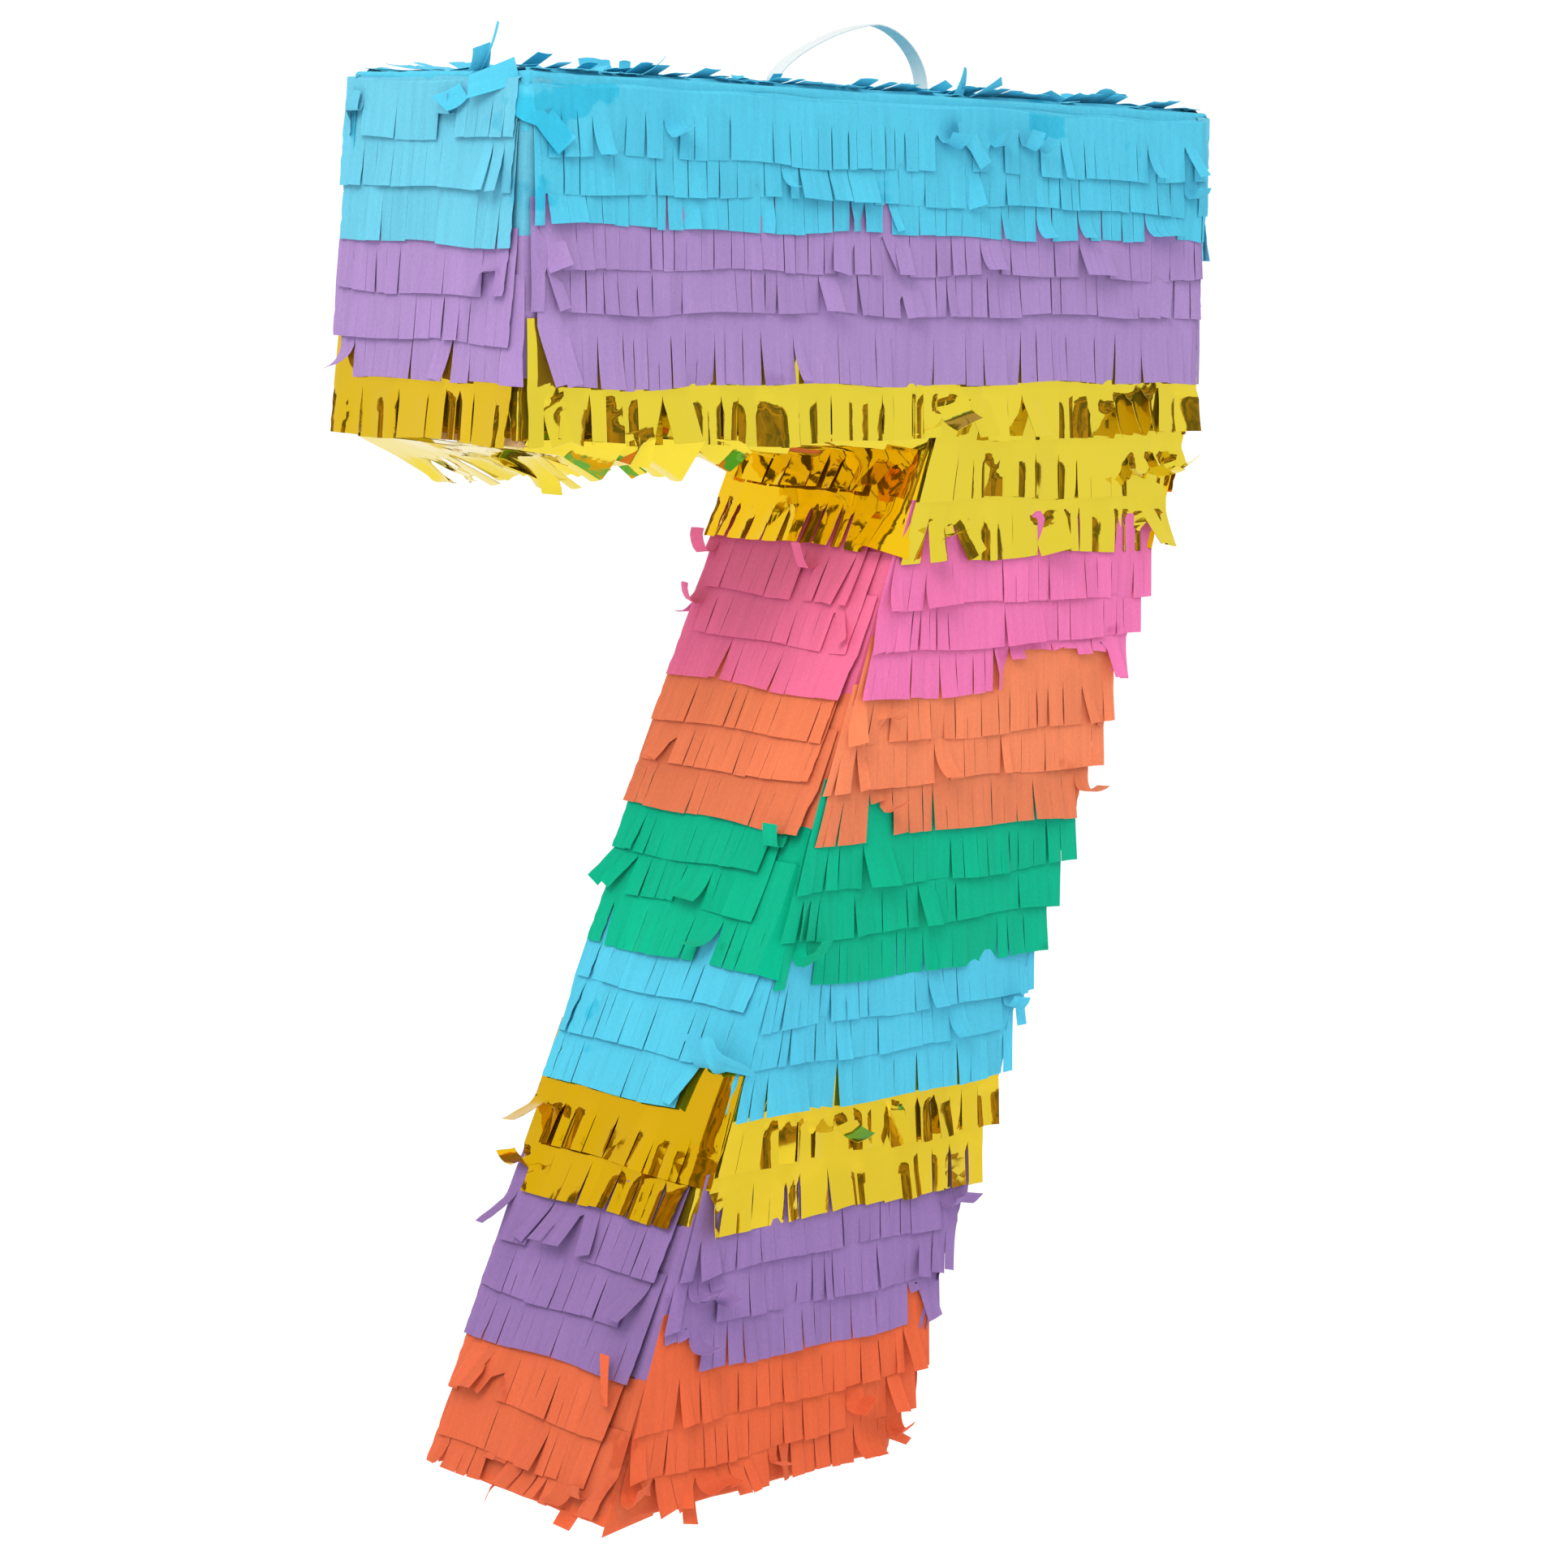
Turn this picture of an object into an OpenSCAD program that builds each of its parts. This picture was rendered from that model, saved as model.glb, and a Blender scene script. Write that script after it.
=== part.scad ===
// Hollow cardboard party pinata in the shape of the numeral seven, dressed in tiers of cut fringe.
// It hangs from a ribbon loop in its top wall and is filled through a flap in its back.
// +X runs along the bar to the numeral's right, +Y from front to back, +Z up.
// The origin is the point of the ribbon loop that a hook or a line bears on.

/* [Numeral] */
// Height of the board body, foot to top
height = 413; // [380:1:440]
// Width of the board body along the bar
bar_width = 282; // [260:1:310]
// Depth of the board body, front to back
depth = 73; // [60:1:90]
// Height of the bar at its free end
bar_height = 100; // [90:1:115]
// Where the stem leaves the bar's underside, from the free end
inner_x = 161; // [145:1:175]
// Left edge of the foot, from the free end
foot_left = 41; // [30:1:60]
// Right edge of the foot, from the free end
foot_right = 155; // [145:1:170]

/* [Board] */
// Thickness of the corrugated board
board = 3; // [2:0.5:4]
// Width of the seam tape on each side of an edge
tape_width = 11; // [8:1:14]

/* [Fringe] */
// How far a tier stands off the board at its top
tier_top = 0.9; // [0.6:0.1:1.4]
// How far a tier stands off the board at its tips
tier_tip = 3.0; // [2:0.1:4]
// Thickness of the cover on the top wall and under the foot
cover_thick = 1.7; // [1.2:0.1:1.8]
// Rows of fringe under the bar
underside_rows = 8; // [5:1:10]

/* [Hanging ribbon] */
// Width of the ribbon
ribbon_width = 5.5; // [4:0.5:6]
// Thickness of the ribbon
ribbon_thick = 0.5; // [0.4:0.1:0.8]
// Left foot of the loop, from the free end
loop_left = 127; // [110:1:135]
// Right foot of the loop, from the free end
loop_right = 190; // [180:1:200]
// Where the crown of the loop lies, as a share of its span
crown_share = 0.65; // [0.5:0.05:0.7]
// Height of the loop's crown over the top wall
loop_rise = 23; // [18:1:40]
// Height over the top wall of the line that the ribbon bends on
swing_height = 5.2; // [5:0.1:6]

/* [Filling flap] */
// Width of the opening in the back
flap_width = 72; // [50:1:90]
// Height of the opening in the back
flap_height = 44; // [35:1:55]
// Centre of the opening, from the free end
flap_x = 84; // [60:1:100]

/* [Hidden] */

BLUE = "#55C6E8";
PURPLE = "#A88BC6";
GOLD = "#E0CB3E";
PINK = "#EF79B2";
CORAL = "#F38B64";
GREEN = "#07B28E";
RED = "#E36847";
BOARD = "#B98F62";
TAPE = "#C9A778";
RIBBON = "#E4EEF2";

// Bands from the top down: colour, number of tiers, name
BANDS = [
    [BLUE, 3, "upper_blue"], [PURPLE, 3, "upper_purple"], [GOLD, 3, "upper_gold"],
    [PINK, 3, "pink"], [CORAL, 3, "coral"], [GREEN, 3, "green"], [BLUE, 3, "lower_blue"],
    [GOLD, 2, "lower_gold"], [PURPLE, 3, "lower_purple"], [RED, 3, "red"]
];
BAR_TIERS = 7;

// Tips of the tiers, as shares of the bar's height and then of the stem's height
front_bar = [0.21, 0.31, 0.40, 0.515, 0.635, 0.84, 1];
side_bar = [0.17, 0.31, 0.46, 0.595, 0.73, 0.84, 1];
front_stem = [
    0.061, 0.118, 0.163, 0.204, 0.249, 0.291, 0.334, 0.383, 0.430, 0.474, 0.519,
    0.557, 0.593, 0.639, 0.688, 0.744, 0.781, 0.829, 0.874, 0.922, 0.965, 1
];
side_stem = [
    0.058, 0.115, 0.166, 0.208, 0.252, 0.294, 0.332, 0.377, 0.419, 0.460, 0.508,
    0.543, 0.594, 0.639, 0.700, 0.744, 0.791, 0.837, 0.882, 0.933, 0.978, 1
];
stem_height = height - bar_height;
right_drop = front_bar[5] * bar_height;

function levels(bar, stem) = concat(
    [0], [for (s = bar) s * bar_height], [for (s = stem) bar_height + s * stem_height]
);
front_levels = levels(front_bar, front_stem);
side_levels = levels(side_bar, side_stem);

// Outline of the numeral, anticlockwise, as [x, z]
outline = [
    [0, height], [0, height - bar_height], [inner_x, height - bar_height], [foot_left, 0],
    [foot_right, 0], [bar_width, height - right_drop], [bar_width, height]
];
BAR_LEFT = 0;
UNDERSIDE = 1;
STEM_LEFT = 2;
FOOT = 3;
STEM_RIGHT = 4;
BAR_RIGHT = 5;
TOP = 6;

tape = 0.25;       // thickness of the seam tape
skin_gap = 0.3;    // the fringe lies over the tape
tier_gap = 0.15;   // between the solids of neighbouring tiers
corner_gap = 5;    // the fringe stays out of the corner under the bar
kerf = 0.5;        // round the flap
crease_gap = 1.2;  // the fringe over the flap starts this far above its crease
flap_top = height - front_bar[0] * bar_height - 4;
flap_skin = 5.2;   // the flap's fringe starts this far under its crease
strut_width = 24;
strut_tab = 12;
plate_length = 92;
plate_width = 40;
plate_hang = 0.2;
tail_drop = 16;    // how far the ribbon's ends hang under the top wall
round_steps = 48;

function edge_end(i) = outline[(i + 1) % len(outline)];
function unit(v) = v / norm(v);
function inward(u) = [-u.y, u.x];
function mitre(a, b, c, d) =
    let (n = inward(unit(b - a)), m = inward(unit(c - b)))
    b + d * (n + m) / (1 + n * m);
function inset(p, d) = [
    for (i = [0 : len(p) - 1])
        mitre(p[(i + len(p) - 1) % len(p)], p[i], p[(i + 1) % len(p)], d)
];

// Point of outline edge i at level s under the top, moved outwards by d
function on_edge(i, s, d) =
    let (a = outline[i], b = edge_end(i), share = (height - s - a.y) / (b.y - a.y))
    a + share * (b - a) - d * inward(unit(b - a));

// Moves the body's own frame, with its origin at the front foot corner, to the loop's crown
hook_x = loop_left + crown_share * (loop_right - loop_left);
module in_frame() {
    translate([-hook_x, -depth / 2, -height - loop_rise + ribbon_thick / 2]) children();
}

// A flat shape in x and z, from y0 to y1
module across(y0, y1) {
    translate([0, y1, 0]) rotate([90, 0, 0]) linear_extrude(y1 - y0) children();
}

// A flat shape in y and z, from x0 to x1
module along(x0, x1) {
    translate([x0, 0, 0]) rotate([90, 0, 90]) linear_extrude(x1 - x0) children();
}

// ---- board ----

module panel(y0) {
    color(BOARD) across(y0, y0 + board) polygon(outline);
}

module front_panel() {
    panel(0);
}

module back_panel() {
    difference() {
        panel(depth - board);
        translate([flap_x - flap_width / 2, depth - 2 * board, flap_top - flap_height])
            cube([flap_width, 3 * board, flap_height]);
    }
}

module wall(i) {
    inner = inset(outline, board);
    last = (i + 1) % len(outline);
    color(BOARD) across(board, depth - board)
        polygon([outline[i], outline[last], inner[last], inner[i]]);
}

module ribbon_slots() {
    for (x = [loop_left, loop_right])
        translate([x - ribbon_thick, depth / 2 - ribbon_width / 2 - 0.5, height - 3 * board])
            cube([2 * ribbon_thick, ribbon_width + 1, 4 * board]);
}

module top_wall() {
    difference() {
        wall(TOP);
        color(BOARD) ribbon_slots();
    }
}

module hanger_plate() {
    difference() {
        color(BOARD)
            translate([(loop_left + loop_right - plate_length) / 2, (depth - plate_width) / 2,
                       height - 2 * board - plate_hang])
                cube([plate_length, plate_width, board]);
        color(BOARD) ribbon_slots();
    }
}

// A strip of board folded to a channel that holds the two panels apart
module strut(x, z) {
    inside = depth - 2 * board;
    color(BOARD) translate([x - strut_width / 2, board, z]) difference() {
        cube([strut_width, inside, strut_tab]);
        translate([-1, board, board]) cube([strut_width + 2, inside - 2 * board, strut_tab]);
    }
}

module bar_strut() {
    strut(bar_width * 0.13, height - bar_height * 0.55);
}

function stem_middle(s) = (on_edge(STEM_LEFT, s, 0).x + on_edge(STEM_RIGHT, s, 0).x) / 2;

module stem_strut(share) {
    s = bar_height + share * stem_height;
    strut(stem_middle(s), height - s);
}

// ---- seam tape ----

module seam_ring(width) {
    difference() {
        polygon(outline);
        polygon(inset(outline, width));
    }
}

module seam_tape(front) {
    y_face = front ? -tape : depth;
    y_side = front ? 0 : depth - tape_width;
    color(TAPE) union() {
        across(y_face, y_face + tape) seam_ring(tape_width);
        across(front ? -tape : y_side, front ? tape_width : depth + tape) difference() {
            polygon(inset(outline, -tape));
            polygon(outline);
        }
    }
}

// ---- ribbon ----

// Height share of the loop at share u of its half span, rounder for a larger power
function arch(u, power) = pow(max(0, 1 - pow(u, power)), 1 / power);
left_power = 1.4;
right_power = 1.8;
crown = [hook_x, height + loop_rise];
function loop_point(t) =
    let (left = t < 0, half = left ? crown.x - loop_left : loop_right - crown.x,
         u = abs(t), power = left ? left_power : right_power)
    [crown.x + (left ? -1 : 1) * half * u,
     height + swing_height + (loop_rise - swing_height) * arch(u, power)];
loop_line = concat(
    [[loop_left, height + swing_height]],
    [for (a = [80 : -10 : -80]) loop_point(-sin(a))],
    [[loop_right, height + swing_height]]
);
function loop_normal(i) =
    i == 0 ? [-1, 0] : i == len(loop_line) - 1 ? [1, 0]
    : -inward(unit(loop_line[i - 1] - loop_line[i + 1]));
function loop_side(d) = [for (i = [0 : len(loop_line) - 1]) loop_line[i] + d * loop_normal(i)];
function reversed(p) = [for (i = [len(p) - 1 : -1 : 0]) p[i]];

module ribbon_loop() {
    half = ribbon_thick / 2;
    color(RIBBON) {
        across((depth - ribbon_width) / 2, (depth + ribbon_width) / 2)
            polygon(concat(loop_side(half), reversed(loop_side(-half))));
        for (x = [loop_left, loop_right])
            intersection() {
                translate([x - half, depth / 2, height + swing_height]) rotate([0, 90, 0])
                    cylinder(h = ribbon_thick, r = ribbon_width / 2, $fn = round_steps);
                translate([x - half - 1, 0, height]) cube([ribbon_thick + 2, depth, swing_height]);
            }
    }
}

tail_top = height + swing_height - ribbon_width / 2 - 0.4;
tail_foot = height - board - tail_drop;
knot_z = height - 2 * board - 4.5;
knot_radius = 3.4;

module tail(x) {
    translate([x - ribbon_thick / 2, (depth - ribbon_width) / 2, tail_foot])
        cube([ribbon_thick, ribbon_width, tail_top - tail_foot]);
}

module ribbon_tails() {
    color(RIBBON) for (x = [loop_left, loop_right]) tail(x);
}

module ribbon_knots() {
    color(RIBBON) for (x = [loop_left, loop_right]) difference() {
        union() {
            translate([x, depth / 2, knot_z]) sphere(r = knot_radius, $fn = round_steps);
            translate([x, depth / 2 - ribbon_width, knot_z]) rotate([-90, 0, 0])
                cylinder(h = 2 * ribbon_width, r = knot_radius * 0.6, $fn = round_steps);
        }
        translate([x - ribbon_thick / 2 - 0.05, (depth - ribbon_width) / 2 - 0.05, tail_foot - 9])
            cube([ribbon_thick + 0.1, ribbon_width + 0.1, 40]);
    }
}

// ---- fringe ----

function first_tier(band) = band == 0 ? 0 : first_tier(band - 1) + BANDS[band - 1][1];

// Section of a tier from level s0 to s1 as [distance off the board, height]
module tier_section(s0, s1) {
    polygon([
        [skin_gap, height - s0 - tier_gap], [skin_gap + tier_top, height - s0 - tier_gap],
        [skin_gap + tier_tip, height - s1], [skin_gap, height - s1]
    ]);
}

module face_tier(s0, s1) {
    intersection() {
        mirror([0, 1, 0]) along(0, bar_width) tier_section(s0, s1);
        across(-2 * tier_tip, 0) polygon(outline);
    }
}

module face_band(band) {
    first = first_tier(band);
    color(BANDS[band][0])
        for (t = [first : first + BANDS[band][1] - 1])
            face_tier(front_levels[t], front_levels[t + 1]);
}

module flap_window() {
    translate([flap_x - flap_width / 2 - kerf, depth - board, flap_top - flap_height - kerf])
        cube([flap_width + 2 * kerf, 5 * board, flap_height + kerf + crease_gap]);
}

module back_band(band) {
    difference() {
        translate([0, depth, 0]) mirror([0, 1, 0]) face_band(band);
        color(BANDS[band][0]) flap_window();
    }
}

module edge_tier(i, s0, s1) {
    across(tier_gap, depth - tier_gap) polygon([
        on_edge(i, s0 + tier_gap, skin_gap), on_edge(i, s0 + tier_gap, skin_gap + tier_top),
        on_edge(i, s1, skin_gap + tier_tip), on_edge(i, s1, skin_gap)
    ]);
}

module side_band(band) {
    first = first_tier(band);
    color(BANDS[band][0])
        for (t = [first : first + BANDS[band][1] - 1]) {
            s0 = side_levels[t];
            s1 = side_levels[t + 1];
            edge_tier(t < BAR_TIERS ? BAR_LEFT : STEM_LEFT, t == BAR_TIERS ? s0 + corner_gap : s0, s1);
            edge_tier(t < BAR_TIERS - 1 ? BAR_RIGHT : STEM_RIGHT, s0, s1);
        }
}

// One slab of the flap's fringe, from level s0 to s1, kept inside the flap
module flap_tiers(band) {
    color(BANDS[band][0]) intersection() {
        translate([0, depth, 0]) mirror([0, 1, 0]) face_band(band);
        translate([flap_x - flap_width / 2 + kerf, depth, flap_top - flap_height + kerf])
            cube([flap_width - 2 * kerf, 5 * board, flap_height - flap_skin - kerf]);
    }
}

module fill_flap() {
    color(BOARD)
        translate([flap_x - flap_width / 2 + kerf, depth - board, flap_top - flap_height + kerf])
            cube([flap_width - 2 * kerf, board, flap_height - 2 * kerf]);
}

module top_fringe() {
    hole = ribbon_width / 2 + 1.5;
    rows = [[depth / 2, depth / 4], [depth / 4, 0], [depth / 2, depth * 3 / 4], [depth * 3 / 4, depth]];
    color(BLUE) difference() {
        for (r = rows) along(0, bar_width) polygon([
            [r[0] + sign(r[1] - r[0]) * tier_gap, height + skin_gap],
            [r[0] + sign(r[1] - r[0]) * tier_gap, height + skin_gap + tier_top],
            [r[1], height + skin_gap + cover_thick], [r[1], height + skin_gap]
        ]);
        for (x = [loop_left, loop_right])
            translate([x - hole, depth / 2 - hole, height - 1]) cube([2 * hole, 2 * hole, 5]);
    }
}

module underside_fringe() {
    z = height - bar_height - skin_gap;
    pitch = (inner_x - corner_gap) / underside_rows;
    color(GOLD) for (i = [0 : underside_rows - 1])
        across(tier_gap, depth - tier_gap) polygon([
            [i * pitch + tier_gap, z], [i * pitch + tier_gap, z - tier_top],
            [(i + 1) * pitch, z - tier_tip], [(i + 1) * pitch, z]
        ]);
}

module foot_fringe() {
    color(RED) translate([foot_left, 0, -skin_gap - cover_thick])
        cube([foot_right - foot_left, depth, cover_thick]);
}

in_frame() front_panel();
in_frame() back_panel();
in_frame() top_wall();
in_frame() wall(BAR_LEFT);  // bar_left_wall
in_frame() wall(UNDERSIDE);  // bar_underside_wall
in_frame() wall(STEM_LEFT);  // stem_left_wall
in_frame() wall(FOOT);  // foot_wall
in_frame() wall(STEM_RIGHT);  // stem_right_wall
in_frame() wall(BAR_RIGHT);  // bar_right_wall
in_frame() bar_strut();
in_frame() stem_strut(0.25);  // upper_stem_strut
in_frame() stem_strut(0.62);  // lower_stem_strut
in_frame() seam_tape(true);  // front_seam_tape
in_frame() seam_tape(false);  // back_seam_tape
in_frame() hanger_plate();
in_frame() ribbon_loop();
in_frame() ribbon_tails();
in_frame() ribbon_knots();
in_frame() fill_flap();
in_frame() flap_tiers(0);  // flap_blue_fringe
in_frame() flap_tiers(1);  // flap_purple_fringe
for (band = [0 : len(BANDS) - 1]) {
    in_frame() face_band(band);
    in_frame() back_band(band);
    in_frame() side_band(band);
}
in_frame() top_fringe();
in_frame() underside_fringe();
in_frame() foot_fringe();
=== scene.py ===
"""Looks of a numeral-seven pinata: cut tissue and foil fringe on a board body, hung from a ribbon."""

import logging
import math
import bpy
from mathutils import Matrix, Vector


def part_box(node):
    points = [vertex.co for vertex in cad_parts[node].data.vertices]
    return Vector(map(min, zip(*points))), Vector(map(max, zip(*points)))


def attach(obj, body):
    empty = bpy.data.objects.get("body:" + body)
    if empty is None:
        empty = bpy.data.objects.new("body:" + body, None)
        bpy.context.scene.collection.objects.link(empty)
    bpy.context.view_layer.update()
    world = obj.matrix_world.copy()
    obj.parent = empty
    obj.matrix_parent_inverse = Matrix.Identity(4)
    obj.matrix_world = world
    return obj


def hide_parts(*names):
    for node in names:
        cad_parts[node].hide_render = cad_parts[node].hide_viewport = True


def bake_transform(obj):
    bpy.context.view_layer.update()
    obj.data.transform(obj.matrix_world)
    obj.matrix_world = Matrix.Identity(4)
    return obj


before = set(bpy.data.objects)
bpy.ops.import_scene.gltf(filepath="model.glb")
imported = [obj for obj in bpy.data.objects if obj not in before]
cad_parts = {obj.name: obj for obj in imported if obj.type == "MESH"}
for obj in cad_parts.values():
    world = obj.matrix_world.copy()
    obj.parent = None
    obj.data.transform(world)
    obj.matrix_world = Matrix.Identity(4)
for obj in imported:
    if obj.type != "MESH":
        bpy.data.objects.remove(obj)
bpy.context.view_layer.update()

import zlib
from collections.abc import Sequence
from dataclasses import dataclass, field, replace
from enum import Enum
from functools import cache

import bpy
import numpy as np
from mathutils import Euler, Vector

LOG = logging.getLogger("pinata")
MM = 0.001
CASING = "casing"
FLAP = "flap"


# ---------------------------------------------------------------- small tools


def linear(hex_colour: str) -> tuple[float, float, float, float]:
    """Turns an sRGB hex colour to linear light.

    Args:
        hex_colour: The colour, such as "#5BC5E5".

    Returns:
        Red, green, blue and an alpha of one.
    """
    parts = [int(hex_colour[i:i + 2], 16) / 255 for i in (1, 3, 5)]
    light = [p / 12.92 if p <= 0.04045 else ((p + 0.055) / 1.055) ** 2.4 for p in parts]
    return (light[0], light[1], light[2], 1.0)


def deselect_all() -> None:
    """Leaves nothing selected, so that an operator acts on its own object only."""
    bpy.ops.object.select_all(action="DESELECT")


def activate(piece: bpy.types.Object) -> None:
    """Makes one object the only selected and the active one."""
    deselect_all()
    piece.select_set(True)
    bpy.context.view_layer.objects.active = piece


def coordinates(mesh: bpy.types.Mesh) -> np.ndarray:
    """Returns a mesh's points as rows of x, y and z."""
    points = np.empty(len(mesh.vertices) * 3)
    mesh.vertices.foreach_get("co", points)
    return points.reshape(-1, 3)


def set_coordinates(mesh: bpy.types.Mesh, points: np.ndarray) -> None:
    """Writes rows of x, y and z to a mesh's points."""
    mesh.vertices.foreach_set("co", np.asarray(points, np.float32).ravel())
    mesh.update()


def join(parts: list[bpy.types.Object], name: str) -> bpy.types.Object:
    """Joins objects to one.

    Args:
        parts: The objects, all in place.
        name: The joined object's name.

    Returns:
        The joined object.
    """
    activate(parts[0])
    for part in parts[1:]:
        part.select_set(True)
    if len(parts) > 1:
        bpy.ops.object.join()
    parts[0].name = name
    parts[0].data.name = name
    return parts[0]


def select(mesh: bpy.types.Mesh, edges: Sequence[bool] | None = None,
           faces: Sequence[bool] | None = None) -> None:
    """Selects a mesh's edges or its faces, with their points, for edit mode.

    Args:
        mesh: The mesh, in object mode.
        edges: Which edges, or None for faces.
        faces: Which faces, or None for edges.
    """
    for parts, chosen in ((mesh.edges, edges), (mesh.polygons, faces)):
        parts.foreach_set("select", np.zeros(len(parts), bool) if chosen is None else np.array(chosen))
    held = np.zeros(len(mesh.vertices), bool)
    for part in mesh.edges if faces is None else mesh.polygons:
        if part.select:
            held[list(part.vertices)] = True
    mesh.vertices.foreach_set("select", held)
    bpy.context.tool_settings.mesh_select_mode = (False, faces is None, faces is not None)


def apply_modifier(piece: bpy.types.Object, kind: str, **settings: object) -> None:
    """Adds one modifier to a piece and applies it at once.

    Args:
        piece: The object.
        kind: The modifier's type, such as "SOLIDIFY".
        settings: Its settings by name.
    """
    activate(piece)
    modifier = piece.modifiers.new(kind.title(), kind)
    for key, value in settings.items():
        setattr(modifier, key, value)
    bpy.ops.object.modifier_apply(modifier=modifier.name)


def smooth(piece: bpy.types.Object, degrees: float = 40) -> None:
    """Shades a piece smooth, but for edges sharper than an angle."""
    activate(piece)
    bpy.ops.object.shade_smooth_by_angle(angle=math.radians(degrees))


def face_outwards(piece: bpy.types.Object) -> None:
    """Turns every face of a closed piece outwards."""
    activate(piece)
    bpy.ops.object.mode_set(mode="EDIT")
    bpy.ops.mesh.select_all(action="SELECT")
    bpy.ops.mesh.normals_make_consistent(inside=False)
    bpy.ops.object.mode_set(mode="OBJECT")


def seed_for(name: str) -> np.random.RandomState:
    """Returns a random source that is the same for a name on each run."""
    return np.random.RandomState(zlib.crc32(name.encode()) & 0x7FFFFFFF)


# ------------------------------------------------------------------- finishes


def add_node(tree: bpy.types.NodeTree, kind: str, settings: dict | None = None,
             inputs: dict | None = None) -> bpy.types.Node:
    """Adds a node with its settings, values and links.

    Args:
        tree: The node tree.
        kind: The node's type name without "ShaderNode".
        settings: Node properties by name.
        inputs: Socket values by name or number; an output socket is linked.

    Returns:
        The new node.
    """
    node = tree.nodes.new("ShaderNode" + kind)
    for key, value in (settings or {}).items():
        setattr(node, key, value)
    for key, value in (inputs or {}).items():
        if isinstance(value, bpy.types.NodeSocket):
            tree.links.new(value, node.inputs[key])
        else:
            node.inputs[key].default_value = value
    return node


def per_metre(millimetres: float) -> float:
    """Returns a noise scale whose features are about that many millimetres apart."""
    return 1 / (millimetres * MM)


def bands_per_metre(millimetres: float) -> float:
    """Returns a wave scale whose bands are that many millimetres apart."""
    return per_metre(millimetres) / math.pi


@dataclass(frozen=True)
class Finish:
    """A real material: its name, its colour and a deeper one that its pattern mixes in."""

    name: str
    colour: str
    deep: str = ""

    SURFACE = {}

    def pattern(self, tree: bpy.types.NodeTree) -> tuple:
        """Makes the pattern.

        Args:
            tree: The material's node tree.

        Returns:
            What gives the colour, and relief layers of a height, a strength and a depth in millimetres.
        """
        raise NotImplementedError

    def material(self) -> bpy.types.Material:
        """Builds the material: its pattern and its relief on a Principled shader.

        Returns:
            The material.
        """
        material = bpy.data.materials.new(self.name)
        material.use_nodes = True
        tree = material.node_tree
        tree.nodes.clear()
        colour, layers = self.pattern(tree)
        inputs = {"Base Color": colour, **self.SURFACE}
        for height, strength, depth in layers:
            below = {"Normal": inputs["Normal"]} if "Normal" in inputs else {}
            bump = add_node(tree, "Bump", None, {
                "Height": height, "Strength": strength, "Distance": depth * MM, **below})
            inputs["Normal"] = bump.outputs["Normal"]
        shader = add_node(tree, "BsdfPrincipled", None, inputs)
        add_node(tree, "OutputMaterial", None, {"Surface": shader.outputs["BSDF"]})
        return material


@dataclass(frozen=True)
class TissuePaper(Finish):
    """Dyed tissue paper: matt and soft, a little uneven in dye, with fine fibres and faint creases.

    Glue that soaks through leaves broad, slightly deeper patches, and a lifted tab lets light through.
    """

    fibre_mm: float = 0.9
    blotch_mm: float = 22.0
    crease_mm: float = 2.4

    SURFACE = {
        "Roughness": 0.86, "Specular IOR Level": 0.06, "Sheen Weight": 0.03, "Sheen Roughness": 0.6,
        "Subsurface Weight": 0.2, "Subsurface Radius": (1.0, 1.0, 1.0), "Subsurface Scale": 0.6 * MM}

    def pattern(self, tree: bpy.types.NodeTree) -> tuple:
        """Makes uneven dye, glue stains, fibres, and creases that follow the UV map in metres, with
        painted shade in the creases' hollows.
        """
        paper = add_node(tree, "UVMap", {"uv_map": "UVMap"}).outputs["UV"]
        place = add_node(tree, "TexCoord").outputs["Object"]
        shade, glue = (add_node(tree, "Attribute", {"attribute_name": name}).outputs["Fac"]
                       for name in ("tint", "damp"))
        fibres, blotch = (add_node(tree, "TexNoise", None, {
            "Vector": place, "Scale": per_metre(size), "Detail": detail,
            "Roughness": rough}).outputs["Fac"]
            for size, detail, rough in ((self.fibre_mm, 4.0, 0.65), (self.blotch_mm, 3.0, 0.6)))
        along = add_node(tree, "Mapping", None, {"Vector": paper, "Scale": (1.0, 0.06, 1.0)})
        crease = add_node(tree, "TexNoise", {"noise_dimensions": "2D"}, {
            "Vector": along.outputs["Vector"], "Scale": per_metre(self.crease_mm),
            "Detail": 2.0}).outputs["Fac"]
        soaked = add_node(tree, "Math", {"operation": "MULTIPLY_ADD"}, {0: glue, 1: 0.42, 2: blotch})
        edge = add_node(tree, "MapRange", {"interpolation_type": "SMOOTHSTEP"}, {
            "Value": soaked.outputs["Value"], "From Min": 0.66, "From Max": 0.74})
        dyed = add_node(tree, "Mix", {"data_type": "RGBA"}, {
            "Factor": edge.outputs["Result"], "A": linear(self.colour), "B": linear(self.deep)})
        # Fibres vary the paper's tone; the crease noise, which also makes the creases' relief, darkens
        # the colour where that relief sinks: painted shade in the creases
        for noise, darkest, brightest in ((fibres, 0.92, 1.06), (crease, 0.95, 1.04)):
            level = add_node(tree, "MapRange", None, {
                "Value": noise, "From Min": 0.25, "From Max": 0.75,
                "To Min": darkest, "To Max": brightest})
            shade = add_node(tree, "Math", {"operation": "MULTIPLY"}, {
                0: level.outputs["Result"], 1: shade}).outputs["Value"]
        final = add_node(tree, "VectorMath", {"operation": "SCALE"}, {
            0: dyed.outputs["Result"], "Scale": shade})
        return final.outputs["Vector"], [(fibres, 0.3, 0.12), (crease, 0.3, 0.35)]


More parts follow.
